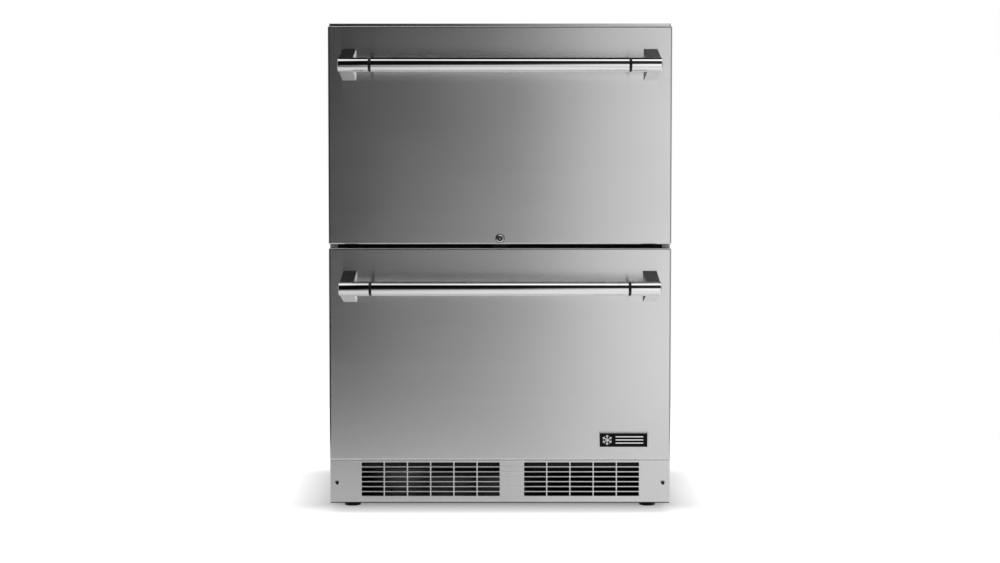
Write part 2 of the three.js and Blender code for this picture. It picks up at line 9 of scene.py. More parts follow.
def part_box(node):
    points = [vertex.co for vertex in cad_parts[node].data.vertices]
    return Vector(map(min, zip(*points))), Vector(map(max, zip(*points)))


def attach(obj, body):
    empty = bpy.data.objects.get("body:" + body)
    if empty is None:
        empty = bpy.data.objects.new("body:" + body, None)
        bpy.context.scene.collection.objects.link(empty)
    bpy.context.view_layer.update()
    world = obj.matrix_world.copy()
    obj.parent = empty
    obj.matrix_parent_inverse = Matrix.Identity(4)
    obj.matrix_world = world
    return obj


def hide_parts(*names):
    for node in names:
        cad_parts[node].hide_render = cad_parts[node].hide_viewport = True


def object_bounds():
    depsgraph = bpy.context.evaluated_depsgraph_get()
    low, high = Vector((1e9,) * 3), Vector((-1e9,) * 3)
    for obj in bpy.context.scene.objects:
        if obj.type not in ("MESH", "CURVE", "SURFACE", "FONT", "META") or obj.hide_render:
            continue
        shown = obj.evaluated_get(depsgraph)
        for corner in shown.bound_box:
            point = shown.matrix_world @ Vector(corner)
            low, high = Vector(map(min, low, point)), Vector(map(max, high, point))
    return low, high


MM = 0.001
LEVELS = ("upper", "lower")
SIDES = (("left", -1), ("right", 1))

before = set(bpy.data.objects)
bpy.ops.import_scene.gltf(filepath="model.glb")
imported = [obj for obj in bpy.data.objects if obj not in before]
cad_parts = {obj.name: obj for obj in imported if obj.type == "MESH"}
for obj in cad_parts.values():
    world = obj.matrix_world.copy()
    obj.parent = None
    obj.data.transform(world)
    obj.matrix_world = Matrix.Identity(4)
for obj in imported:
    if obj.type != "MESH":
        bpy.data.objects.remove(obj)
CAD_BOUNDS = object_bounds()
SCENE = bpy.context.scene


# ---- node helpers

def node_tree(material):
    material.use_nodes = True
    tree = material.node_tree
    return tree, tree.nodes["Principled BSDF"]


def add_node(tree, kind, **values):
    node = tree.nodes.new(kind)
    for key, value in values.items():
        setattr(node, key, value)
    return node


def object_coordinates(tree, scale):
    coordinates = add_node(tree, "ShaderNodeTexCoord")
    mapping = add_node(tree, "ShaderNodeMapping")
    mapping.inputs["Scale"].default_value = scale
    tree.links.new(coordinates.outputs["Object"], mapping.inputs["Vector"])
    return mapping.outputs["Vector"]


def noise(tree, scale, size=1.0, detail=3.0, roughness=0.55):
    """Noise over object coordinates in metres; scale stretches it per axis."""
    node = add_node(tree, "ShaderNodeTexNoise")
    node.inputs["Scale"].default_value = size
    node.inputs["Detail"].default_value = detail
    node.inputs["Roughness"].default_value = roughness
    tree.links.new(object_coordinates(tree, scale), node.inputs["Vector"])
    return node.outputs["Fac"]


def ramp_between(tree, value, low, high, start=0.3, end=0.7):
    node = add_node(tree, "ShaderNodeMapRange")
    node.inputs["From Min"].default_value = start
    node.inputs["From Max"].default_value = end
    node.inputs["To Min"].default_value = low
    node.inputs["To Max"].default_value = high
    tree.links.new(value, node.inputs["Value"])
    return node.outputs["Result"]


def mix_colours(tree, factor, first, second):
    node = add_node(tree, "ShaderNodeMix", data_type="RGBA")
    node.inputs["A"].default_value = (*first, 1)
    node.inputs["B"].default_value = (*second, 1)
    tree.links.new(factor, node.inputs["Factor"])
    return node.outputs["Result"]


def bump(tree, shader, height, strength, distance):
    node = add_node(tree, "ShaderNodeBump")
    node.inputs["Strength"].default_value = strength
    node.inputs["Distance"].default_value = distance
    tree.links.new(height, node.inputs["Height"])
    tree.links.new(node.outputs["Normal"], shader.inputs["Normal"])


def combine(tree, operation, first, second):
    node = add_node(tree, "ShaderNodeMath", operation=operation)
    for socket, value in zip(node.inputs, (first, second)):
        if isinstance(value, (int, float)):
            socket.default_value = value
        else:
            tree.links.new(value, socket)
    return node.outputs["Value"]


def weighted(tree, first, first_weight, second, second_weight):
    return combine(tree, "ADD", combine(tree, "MULTIPLY", first, first_weight),
                   combine(tree, "MULTIPLY", second, second_weight))


# ---- materials

ACROSS_Z = (2.5, 2.5, 900.0)  # noise scales that draw brush lines stacked in Z
ACROSS_Y = (2.5, 900.0, 2.5)


def brushed_steel(name, greys, roughness, anisotropy=0.0, lines=ACROSS_Z):
    """Steel with long fine brush lines, a little uneven in colour and polish."""
    material = bpy.data.materials.new(name)
    tree, shader = node_tree(material)
    shader.inputs["Metallic"].default_value = 1.0
    streaks = noise(tree, lines, detail=4.0, roughness=0.7)
    broad = noise(tree, (1.5, 1.5, 60.0), detail=2.0)
    cloud = noise(tree, (4.0, 4.0, 4.0), detail=3.0)
    grain = weighted(tree, streaks, 0.7, broad, 0.3)
    shade = mix_colours(tree, ramp_between(tree, grain, 0, 1), *greys)
    tree.links.new(shade, shader.inputs["Base Color"])
    polish = ramp_between(tree, grain, *roughness)
    uneven = combine(tree, "ADD", polish, ramp_between(tree, cloud, -0.015, 0.015))
    tree.links.new(uneven, shader.inputs["Roughness"])
    bump(tree, shader, streaks, 0.05, 0.00003)
    if anisotropy:
        shader.inputs["Anisotropic"].default_value = anisotropy
        shader.inputs["Anisotropic Rotation"].default_value = 0.25
        tangent = add_node(tree, "ShaderNodeTangent", direction_type="UV_MAP", uv_map="grain")
        tree.links.new(tangent.outputs["Tangent"], shader.inputs["Tangent"])
    return material


def polished_metal(name, colour, roughness):
    material = bpy.data.materials.new(name)
    tree, shader = node_tree(material)
    shader.inputs["Metallic"].default_value = 1.0
    cloud = noise(tree, (9.0, 9.0, 9.0), detail=4.0)
    dull = tuple(c * 0.94 for c in colour)
    shade = mix_colours(tree, ramp_between(tree, cloud, 0, 1), dull, colour)
    tree.links.new(shade, shader.inputs["Base Color"])
    hairlines = noise(tree, (5.0, 260.0, 260.0), detail=3.0)
    rough = combine(tree, "ADD", ramp_between(tree, cloud, roughness * 0.8, roughness * 1.3),
                    ramp_between(tree, hairlines, 0.0, roughness * 0.4))
    tree.links.new(rough, shader.inputs["Roughness"])
    bump(tree, shader, hairlines, 0.05, 0.00004)
    return material


def galvanised(name):
    """Zinc coat with its pale crystal spangle."""
    material = bpy.data.materials.new(name)
    tree, shader = node_tree(material)
    shader.inputs["Metallic"].default_value = 0.92
    cells = add_node(tree, "ShaderNodeTexVoronoi")
    cells.inputs["Scale"].default_value = 1.0
    tree.links.new(object_coordinates(tree, (150.0, 150.0, 150.0)), cells.inputs["Vector"])
    channels = add_node(tree, "ShaderNodeSeparateColor")
    tree.links.new(cells.outputs["Color"], channels.inputs["Color"])
    spangle = channels.outputs["Red"]
    grey_zinc = mix_colours(tree, spangle, (0.50, 0.51, 0.52), (0.60, 0.61, 0.62))
    tree.links.new(grey_zinc, shader.inputs["Base Color"])
    tree.links.new(ramp_between(tree, spangle, 0.36, 0.46, 0.0, 1.0), shader.inputs["Roughness"])
    bump(tree, shader, noise(tree, (60.0, 60.0, 60.0)), 0.1, 0.0003)
    return material


def plain_coat(name, dark, light, roughness, scale=400.0, depth=0.0002, strength=0.25, specular=0.5):
    """Moulded plastic, rubber, paint or foam: a fine grain over a slow change of tone."""
    material = bpy.data.materials.new(name)
    tree, shader = node_tree(material)
    fine = noise(tree, (scale, scale, scale), detail=3.0)
    slow = noise(tree, (7.0, 7.0, 7.0), detail=2.0)
    tone = weighted(tree, fine, 0.45, slow, 0.55)
    shade = mix_colours(tree, ramp_between(tree, tone, 0, 1), dark, light)
    tree.links.new(shade, shader.inputs["Base Color"])
    rough = ramp_between(tree, fine, roughness * 0.9, min(1.0, roughness * 1.12))
    tree.links.new(rough, shader.inputs["Roughness"])
    bump(tree, shader, fine, strength, depth)
    shader.inputs["Specular IOR Level"].default_value = specular
    return material


def steel_greys(dark, light, blue=0.01):
    """A dark and a light steel grey, both a touch blue."""
    return (dark, dark, dark + blue), (light, light, light + blue)


FRONT_STEEL = brushed_steel("front_steel", steel_greys(0.755, 0.785, 0.005), (0.172, 0.19), anisotropy=1.0)
EDGE_STEEL = brushed_steel("folded_edge_steel", steel_greys(0.74, 0.78), (0.10, 0.14))
SIDE_STEEL = brushed_steel("side_steel", steel_greys(0.66, 0.72), (0.44, 0.50), anisotropy=0.4)
TOP_STEEL = brushed_steel("top_steel", steel_greys(0.70, 0.76), (0.25, 0.29), anisotropy=0.95,
                          lines=ACROSS_Y)
INNER_STEEL = brushed_steel("inner_steel", steel_greys(0.66, 0.76), (0.24, 0.34))
LINER_METAL = brushed_steel("liner_aluminium", ((0.74, 0.75, 0.76), (0.84, 0.85, 0.86)), (0.38, 0.48))
FIN_METAL = brushed_steel("fin_aluminium", ((0.55, 0.56, 0.57), (0.80, 0.81, 0.82)), (0.35, 0.5),
                          lines=(300.0, 300.0, 40.0))
# Black coat on the condenser fins, kept this dark also as painted shade for the space behind the grille
COATED_FINS_AND_SHADE = polished_metal("coated_fins_and_painted_shade", (0.02, 0.02, 0.022), 0.5)
CHROME = polished_metal("handle_chrome", (0.93, 0.93, 0.94), 0.055)
LOCK_CHROME = polished_metal("lock_chrome", (0.88, 0.88, 0.89), 0.10)
DARK_STEEL = polished_metal("burnished_steel", (0.045, 0.045, 0.05), 0.22)
COPPER = polished_metal("copper_tube", (0.80, 0.42, 0.27), 0.24)
ZINC = galvanised("zinc_sheet")
GASKET_RUBBER = plain_coat("gasket_rubber", (0.018, 0.018, 0.019), (0.035, 0.035, 0.036), 0.55)
RING_RUBBER = plain_coat("ring_rubber", (0.006, 0.006, 0.006), (0.014, 0.014, 0.014), 0.5)
# black paint, also used as painted shade on the lock strike and the base pan
BLACK_PAINT_AND_SHADE = plain_coat("black_paint_and_shade", (0.008, 0.008, 0.009), (0.02, 0.02, 0.021), 0.32, scale=150.0)
BLACK_PLASTIC = plain_coat("black_plastic", (0.008, 0.008, 0.009), (0.018, 0.018, 0.019), 0.55,
                           scale=600.0, specular=0.3)
ENAMEL = plain_coat("badge_enamel", (0.003, 0.003, 0.004), (0.007, 0.007, 0.008), 0.25,
                    strength=0.03, specular=0.12)
FOAM = plain_coat("cell_foam", (0.62, 0.52, 0.30), (0.80, 0.72, 0.48), 0.9, scale=250.0, depth=0.001,
                  strength=0.6)


# ---- mesh helpers

def mm(*values):
    return tuple(v * MM for v in values)


def finish_piece(name, mesh, material, body, replaces=(), smooth=35):
    """Makes the object, shades it, lays out its grain and puts it on its body."""
    mesh.materials.clear()
    mesh.materials.append(material)
    piece = bpy.data.objects.new(name, mesh)
    SCENE.collection.objects.link(piece)
    for polygon in mesh.polygons:
        polygon.use_smooth = True
    mark_sharp_edges(mesh, math.radians(smooth))
    lay_out_grain(mesh)
    flat = piece.modifiers.new("flat faces stay flat", "WEIGHTED_NORMAL")
    flat.keep_sharp = True
    flat.weight = 100
    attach(piece, body)
    if replaces:
        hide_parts(*replaces)
    return piece


def add(name, work, material, body, replaces=(), smooth=35):
    return finish_piece(name, mesh_from(work, name), material, body, replaces, smooth)


def bright_folds(mesh, material, front=False):
    """Gives the rounded edges between flat faces, and the front if asked, a material of their own."""
    mesh.materials.append(material)
    for polygon in mesh.polygons:
        if max(abs(part) for part in polygon.normal) < 0.9999 or (front and polygon.normal.y < -0.9):
            polygon.material_index = 1


def mark_sharp_edges(mesh, angle):
    work = bmesh.new()
    work.from_mesh(mesh)
    for edge in work.edges:
        edge.smooth = len(edge.link_faces) == 2 and edge.calc_face_angle(0) < angle
    work.to_mesh(mesh)
    work.free()


def lay_out_grain(mesh):
    """UVs in metres whose U runs along the brush lines: X on front and top faces, Y on side faces."""
    layer = mesh.uv_layers.new(name="grain")
    for polygon in mesh.polygons:
        normal = polygon.normal
        sideways = abs(normal.x) > max(abs(normal.y), abs(normal.z))
        level = abs(normal.z) > abs(normal.y)
        for loop in polygon.loop_indices:
            x, y, z = mesh.vertices[mesh.loops[loop].vertex_index].co
            u = y if sideways else x
            v = y if level and not sideways else z
            layer.data[loop].uv = (u, v)


def mesh_from(work, name):
    bmesh.ops.recalc_face_normals(work, faces=work.faces)
    mesh = bpy.data.meshes.new(name)
    work.to_mesh(mesh)
    work.free()
    return mesh


def rounded_box(low, high, radius, segments=4):
    work = bmesh.new()
    bmesh.ops.create_cube(work, size=1.0)
    low, high = Vector(low), Vector(high)
    bmesh.ops.scale(work, vec=high - low, verts=work.verts)
    bmesh.ops.translate(work, vec=(low + high) / 2, verts=work.verts)
    if radius:
        bmesh.ops.bevel(work, geom=work.edges[:], offset=radius, segments=segments, profile=0.5,
                        affect="EDGES", clamp_overlap=True)
    return work


def block(x, y, z, radius, segments=2):
    """Box between two X, two Y and two Z values in millimetres, edges rounded by radius."""
    return rounded_box(mm(x[0], y[0], z[0]), mm(x[1], y[1], z[1]), radius * MM, segments)


def lathe(profile, steps=64):
    """Turned solid about Z from (radius, height) points; ends on the axis close it."""
    work = bmesh.new()
    rings = []
    for radius, height in profile:
        if radius < 1e-7:
            rings.append([work.verts.new((0, 0, height))])
            continue
        turn = [2 * math.pi * i / steps for i in range(steps)]
        rings.append([work.verts.new((radius * math.cos(t), radius * math.sin(t), height)) for t in turn])
    for first, second in zip(rings, rings[1:]):
        for i in range(steps):
            j = (i + 1) % steps
            corners = [first[i % len(first)], first[j % len(first)]]
            corners += [second[j % len(second)], second[i % len(second)]]
            work.faces.new(list(dict.fromkeys(corners)))
    return work


def turned(profile, steps=64):
    """Lathe for a profile in millimetres."""
    return lathe([mm(*point) for point in profile], steps)


def spin(work, angle, axis):
    bmesh.ops.rotate(work, cent=(0, 0, 0), matrix=Matrix.Rotation(angle, 3, axis), verts=work.verts)
    return work


def turn_to(work, axis):
    """Lays a solid made about Z along X or Y instead."""
    return spin(work, math.pi / 2, "Y") if axis == "X" else spin(work, -math.pi / 2, "X")


def move(work, vector):
    bmesh.ops.translate(work, vec=Vector(vector), verts=work.verts)
    return work


def joined(*works):
    """One bmesh from several."""
    total = bmesh.new()
    for work in works:
        mesh = bpy.data.meshes.new("part")
        work.to_mesh(mesh)
        work.free()
        total.from_mesh(mesh)
        bpy.data.meshes.remove(mesh)
    return total


def evaluated_mesh(holder):
    """Final mesh of a helper object, which is then removed."""
    SCENE.collection.objects.link(holder)
    bpy.context.view_layer.update()
    graph = bpy.context.evaluated_depsgraph_get()
    mesh = bpy.data.meshes.new_from_object(holder.evaluated_get(graph))
    bpy.data.objects.remove(holder)
    return mesh


def curve_solid(curve):
    mesh = evaluated_mesh(bpy.data.objects.new("holder", curve))
    work = bmesh.new()
    work.from_mesh(mesh)
    bpy.data.meshes.remove(mesh)
    return work


def tube(points, radius, sides, kind="POLY"):
    """Round bar along points, straight between them or, as NURBS, curving past them."""
    curve = bpy.data.curves.new("tube", "CURVE")
    curve.dimensions = "3D"
    curve.bevel_depth = radius
    curve.bevel_resolution = sides // 4
    curve.use_fill_caps = True
    spline = curve.splines.new(kind)
    spline.points.add(len(points) - 1)
    for point, at in zip(spline.points, points):
        point.co = (*at, 1)
    if kind == "NURBS":
        spline.use_endpoint_u = True
        spline.order_u = 3
        spline.resolution_u = 8
    return curve_solid(curve)


def wire(points, radius, sides=12):
    """Smoothly curving bar along points in millimetres."""
    return tube([mm(*point) for point in points], radius * MM, sides, "NURBS")


def loop_points(width, height, radius, centre=(0.0, 0.0), steps=5):
    """Rounded rectangle, anticlockwise."""
    x0, y0 = centre
    points = []
    for quarter, (sx, sy) in enumerate([(1, 1), (-1, 1), (-1, -1), (1, -1)]):
        cx, cy = x0 + sx * (width / 2 - radius), y0 + sy * (height / 2 - radius)
        for step in range(steps + 1):
            angle = math.pi / 2 * (quarter + step / steps)
            points.append((cx + radius * math.cos(angle), cy + radius * math.sin(angle)))
    return points


def sheet_with_holes(outer, holes, thickness, edge):
    """Flat sheet in (x, z) whose rims are rounded by edge, its middle plane at y = 0."""
    curve = bpy.data.curves.new("sheet", "CURVE")
    curve.dimensions = "2D"
    curve.fill_mode = "BOTH"
    curve.extrude = thickness / 2 - edge
    curve.bevel_depth = edge
    curve.bevel_resolution = 2
    curve.offset = -edge
    for loop in [outer, *holes]:
        spline = curve.splines.new("POLY")
        spline.points.add(len(loop) - 1)
        for point, (x, y) in zip(spline.points, loop):
            point.co = (x, y, 0, 1)
        spline.use_cyclic_u = True
    work = curve_solid(curve)
    bmesh.ops.remove_doubles(work, verts=work.verts, dist=1e-6)
    return spin(work, math.pi / 2, "X")


def rounded_loop(x0, x1, y0, y1, radius, steps=6):
    """Rounded rectangle as (x, y, outward x, outward y)."""
    loop = []
    for quarter, (cx, cy) in enumerate([(x1 - radius, y1 - radius), (x0 + radius, y1 - radius),
                                        (x0 + radius, y0 + radius), (x1 - radius, y0 + radius)]):
        for step in range(steps + 1):
            angle = math.pi / 2 * (quarter + step / steps)
            c, s = math.cos(angle), math.sin(angle)
            loop.append((cx + radius * c, cy + radius * s, c, s))
    return loop


def upright(u, v, depth):
    return (u, v, depth)


def facing_front(u, v, depth):
    return (u, depth, v)


def swept_loop(loop, profile, place, closed):
    """Profile of (outward, depth) points carried round a loop; open profiles get end caps."""
    work = bmesh.new()
    rings = [[work.verts.new(place(u + out * nu, v + out * nv, depth)) for u, v, nu, nv in loop]
             for out, depth in profile]
    count = len(loop)
    pairs = list(zip(rings, rings[1:])) + ([(rings[-1], rings[0])] if closed else [])
    for first, second in pairs:
        for i in range(count):
            j = (i + 1) % count
            work.faces.new((first[i], first[j], second[j], second[i]))
    if not closed:
        work.faces.new(rings[0])
        work.faces.new(rings[-1][::-1])
    return work


def prism(outline, x0, x1):
    """Outline in (y, z), extruded along X."""
    work = bmesh.new()
    first = [work.verts.new((x0, y, z)) for y, z in outline]
    second = [work.verts.new((x1, y, z)) for y, z in outline]
    work.faces.new(first)
    work.faces.new(second[::-1])
    count = len(outline)
    for i in range(count):
        j = (i + 1) % count
        work.faces.new((first[i], first[j], second[j], second[i]))
    return work


def soften(work, radius, segments=3, angle=25):
    """Rounds every edge sharper than angle."""
    sharp = [e for e in work.edges if len(e.link_faces) == 2 and e.calc_face_angle(0) > math.radians(angle)]
    bmesh.ops.bevel(work, geom=sharp, offset=radius, segments=segments, profile=0.5,
                    affect="EDGES", clamp_overlap=True)
    return work


def softened(node, radius):
    """A CAD node's sheet work with its edges broken by radius in metres."""
    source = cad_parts[node]
    work = bmesh.new()
    work.from_mesh(source.data)
    work.transform(source.matrix_world)
    bmesh.ops.remove_doubles(work, verts=work.verts, dist=2e-6)
    bmesh.ops.dissolve_limit(work, angle_limit=math.radians(0.5), verts=work.verts, edges=work.edges)
    return soften(work, radius, segments=2, angle=20)


def paint(node, material):
    """Gives a CAD node that keeps its own shape a better material."""
    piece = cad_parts[node]
    piece.data.materials.clear()
    piece.data.materials.append(material)


# ---- drawer fronts

EDGE = 3.0 * MM
SHEET = 1.2 * MM


def front_skin(level):
    """Folded skin: rounded rims in front, straight returns and an open back."""
    low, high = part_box(f"{level}_front_skin")
    work = rounded_box(low, high + Vector((0, 2 * EDGE, 0)), EDGE, segments=6)
    everything = work.verts[:] + work.edges[:] + work.faces[:]
    bmesh.ops.bisect_plane(work, geom=everything, plane_co=(0, high.y, 0), plane_no=(0, 1, 0),
                           clear_outer=True)
    holder = bpy.data.objects.new("holder", mesh_from(work, f"{level}_skin"))
    modifier = holder.modifiers.new("thickness", "SOLIDIFY")
    modifier.thickness = SHEET
    modifier.offset = -1
    solid = evaluated_mesh(holder)
    finish_piece(f"{level}_skin", solid, FRONT_STEEL, f"{level}_drawer", [f"{level}_front_skin"],
                 50)
    bright_folds(solid, EDGE_STEEL)


def handle(level):
    """Bar with a cast end and a rubber ring at each side."""
    body = f"{level}_drawer"
    low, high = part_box(f"{level}_handle_tube")
    radius = (high.z - low.z) / 2
    axis = (low + high) / 2
    half = high.x
    rim = [(0, half - 0.5 * MM), (radius - 1.6 * MM, half - 0.5 * MM), (radius - 0.8 * MM, half),
           (radius, half - 0.6 * MM)]
    bar = lathe([(r, -x) for r, x in rim] + rim[::-1], 96)
    add(f"{level}_bar", move(turn_to(bar, "X"), axis), CHROME, body, [f"{level}_handle_tube"])
    for word, side in SIDES:
        post_low, post_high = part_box(f"{level}_handle_post_{word}")
        near, far = sorted((abs(post_low.x), abs(post_high.x)))
        edge = 1.2 * MM
        stub = lathe([(0, near), (radius - edge, near), (radius, near + edge), (radius, far - 2 * edge),
                      (radius - edge * 0.6, far - edge * 0.6), (radius - 2 * edge, far), (0, far)], 96)
        move(turn_to(stub, "X"), (0, axis.y, axis.z))
        post = handle_post(axis, radius, post_high.y, (post_high.z - post_low.z) / 2)
        end = joined(stub, post)
        if side < 0:
            bmesh.ops.scale(end, vec=(-1, 1, 1), verts=end.verts)
        add(f"{level}_bar_end_{word}", end, CHROME, body, [f"{level}_handle_post_{word}"])
        ring = turn_to(o_ring(radius + 0.3 * MM, (near - half) / 2), "X")
        move(ring, (side * (half + near) / 2, axis.y, axis.z))
        add(f"{level}_bar_ring_{word}", ring, RING_RUBBER, body)


POST_INNER = 256 * MM
POST_OUTER = 281 * MM


def handle_post(axis, radius, base_y, half_height):
    """Cast wedge from the drawer face to the bar, its edges softened."""
    inside = radius * 0.985
    upper = [(base_y, half_height), (axis.y + 3 * MM, inside), (axis.y - 2 * MM, inside * 0.8)]
    outline = [(y, axis.z + up) for y, up in upper] + [(y, axis.z - up) for y, up in upper[::-1]]
    work = prism(outline, POST_INNER, POST_OUTER)
    for vertex in work.verts:
        if abs(vertex.co.y - base_y) < 1e-6:
            vertex.co.x -= 3 * MM if vertex.co.x < (POST_INNER + POST_OUTER) / 2 else 3.5 * MM
    bmesh.ops.recalc_face_normals(work, faces=work.faces)
    rims = [e for e in work.edges if any(abs(v.co.y - base_y) > 1e-5 for v in e.verts)]
    bmesh.ops.bevel(work, geom=rims, offset=0.8 * MM, segments=3, profile=0.5, affect="EDGES")
    return work


def o_ring(radius, half):
    """Rubber ring that stands a little proud of the bar."""
    steps = 10
    turn = [math.pi * i / steps for i in range(steps + 1)]
    crown = [(radius - half + half * math.sin(t), -half * math.cos(t)) for t in turn]
    return lathe([(2 * MM, -half), *crown, (2 * MM, half)], 72)


# ---- lock and badge

def lock():
    """Bright bevelled ring on a dark seat, whose black also stands in as painted shade round the ring, with
    a dark plug and its keyway.
    """
    low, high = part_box("lock_body")
    x, z = (low.x + high.x) / 2, (low.z + high.z) / 2
    depth = high.y - low.y
    seat, bore, barrel = (high.x - low.x) / 2, 4.8 * MM, 7.0 * MM
    face = [mm(*p) for p in ((7.4, 1.9), (7.35, 1.75), (5.6, 0.25), (5.3, 0.05), (5.1, 0.05), (4.8, 0.4))]
    profile = [(bore, depth), (barrel, depth), (barrel, 1.9 * MM), *face, (bore, depth)]
    ring = move(turn_to(lathe(profile, 72), "Y"), (x, low.y, z))
    add("lock_ring", ring, CHROME, "upper_drawer", ["lock_body"])
    # black seat washer, also painted shade for the shaded gap round the ring
    washer = [(barrel, 2.0 * MM), (seat, 2.0 * MM), (seat, 1.4 * MM), (seat - 0.3 * MM, 1.1 * MM),
              (barrel, 1.1 * MM)]
    rim = move(turn_to(lathe(washer, 72), "Y"), (x, low.y, z))
    add("lock_seat_and_shade_ring", rim, BLACK_PLASTIC, "upper_drawer")
    add("lock_plug", softened("lock_cam", 0.25 * MM), DARK_STEEL, "lock_cylinder", ["lock_cam"])


def badge():
    """Plain enamel plate in a bright frame with a simple six-armed frost star."""
    low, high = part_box("badge_plate")
    width, height = high.x - low.x, high.z - low.z
    centre = (low + high) / 2
    rim = 1.7 * MM
    outer = loop_points(width, height, 1.6 * MM)
    inner = loop_points(width - 2 * rim, height - 2 * rim, 0.6 * MM)[::-1]
    bezel = move(sheet_with_holes(outer, [inner], high.y - low.y, 0.8 * MM), centre)
    add("badge_frame", bezel, CHROME, "lower_drawer", ["badge_plate"])
    field_low = Vector((low.x + rim * 0.6, low.y + 0.9 * MM, low.z + rim * 0.6))
    field_high = Vector((high.x - rim * 0.6, high.y, high.z - rim * 0.6))
    field = rounded_box(field_low, field_high, 0.2 * MM, 2)
    add("badge_field", field, ENAMEL, "lower_drawer")
    star = move(frost_star(height * 0.33), (centre.x - width * 0.33, low.y + 0.75 * MM, centre.z))
    left, right = centre.x - width * 0.16, centre.x + width * 0.40
    bars = [rounded_box((left, low.y + 0.5 * MM, z - 1.0 * MM), (right, low.y + 1.0 * MM, z + 1.0 * MM),
                        0.2 * MM, 2)
            for z in (centre.z - 5.6 * MM, centre.z, centre.z + 5.6 * MM)]
    add("badge_mark", joined(star, *bars), CHROME, "lower_drawer")


def frost_star(radius):
    """Six-armed star in the XZ plane, each arm with two leaning tips."""
    arms = []
    for turn in range(3):
        arm = rounded_box((-0.75 * MM, -0.25 * MM, -radius), (0.75 * MM, 0.25 * MM, radius), 0.15 * MM, 2)
        arms.append(spin(arm, turn * math.pi / 3, "Y"))
    for turn in range(6):
        for lean in (-1, 1):
            tip = rounded_box((-0.55 * MM, -0.25 * MM, 0), (0.55 * MM, 0.25 * MM, radius * 0.38),
                              0.12 * MM, 2)
            move(spin(tip, lean * math.pi / 4, "Y"), (0, 0, radius * 0.55))
            arms.append(spin(tip, turn * math.pi / 3, "Y"))
    return joined(*arms)


# ---- screws

def screw_head(radius):
    """Pan head with a cross recess, its base at z = 0 and its crown towards -Z."""
    profile = [(0, -radius * 0.42), (radius * 0.45, -radius * 0.40), (radius * 0.8, -radius * 0.28),
               (radius, 0.0), (radius, 0.3 * MM), (0, 0.3 * MM)]
    cross = []
    for turn in (0.4, 0.4 + math.pi / 2):
        bar = rounded_box((-radius * 0.55, -radius * 0.13, -radius * 0.46),
                          (radius * 0.55, radius * 0.13, -radius * 0.30), 0)
        cross.append(spin(bar, turn, "Z"))
    return joined(lathe(profile, 32), *cross)


def back_screw(name, at):
    """Cross-head screw in the cabinet whose crown looks towards the back."""
    head = spin(turn_to(screw_head(3.6 * MM), "Y"), math.pi, "Z")
    add(name, move(head, mm(*at)), LOCK_CHROME, "cabinet")


# ---- base

GRILLE_SCREW = (290.8, 54)  # millimetres from the middle and from the floor


def grille_slots(centre_z):
    """Seven rows of slots in two fields, with one column left blank between them."""
    pitch_x, pitch_z = 41.46 * MM, 8.9 * MM
    columns, rows, blank = 12, 7, 6
    first_x, first_z = 0.5 * MM - (columns - 1) * pitch_x / 2, 34.1 * MM - centre_z
    slots = []
    for column in range(columns):
        if column == blank:
            continue
        for row in range(rows):
            at = (first_x + column * pitch_x, first_z + row * pitch_z)
            slots.append(loop_points(39.1 * MM, 6.6 * MM, 0.8 * MM, at, steps=2)[::-1])
    return slots


def kick_grille():
    """Slotted front with folded ends and top, a dark rubber strip below it that also draws the shaded line
    under its lower edge as painted shade, and two screws.
    """
    low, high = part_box("kick_grille")
    sheet, trim = 1.5 * MM, 1.5 * MM
    width, height = high.x - low.x, high.z - low.z
    centre_z = (low.z + high.z) / 2
    outline = loop_points(width, height - trim, 0.8 * MM, (0, trim / 2), steps=2)
    plate = sheet_with_holes(outline, grille_slots(centre_z), sheet, 0.65 * MM)
    move(plate, (0, low.y + sheet / 2, centre_z))
    sides = [rounded_box((x0, low.y + 0.4 * MM, low.z), (x0 + sheet, high.y, high.z), 0.5 * MM, 3)
             for x0 in (low.x, high.x - sheet)]
    top_low = (low.x, low.y + 0.2 * MM, high.z - sheet)
    top = rounded_box(top_low, (high.x, low.y + 16 * MM, high.z), 0.5 * MM, 3)
    work = joined(plate, *sides, top)
    grille = add("grille", work, FRONT_STEEL, "cabinet", ["kick_grille"], 50)
    bright_folds(grille.data, EDGE_STEEL)
    # dark rubber strip under the grille, also painted shade for the shaded line along its lower edge
    strip_low = (low.x + 0.3 * MM, low.y + 0.1 * MM, low.z)
    strip = rounded_box(strip_low, (high.x - 0.3 * MM, low.y + sheet, low.z + trim), 0.3 * MM, 2)
    add("grille_trim_and_shade_line", strip, GASKET_RUBBER, "cabinet")
    for word, side in SIDES:
        at = (side * GRILLE_SCREW[0] * MM, low.y + 0.2 * MM, GRILLE_SCREW[1] * MM)
        cup = turned([(2.6, 0.0), (2.6, -0.5), (3.4, -0.9), (4.3, -0.6), (4.7, 0.0)], 40)
        add(f"grille_washer_{word}", move(turn_to(cup, "Y"), at), LOCK_CHROME, "cabinet")
        head = move(turn_to(screw_head(3.5 * MM), "Y"), at)
        add(f"grille_screw_{word}", head, DARK_STEEL, "cabinet")


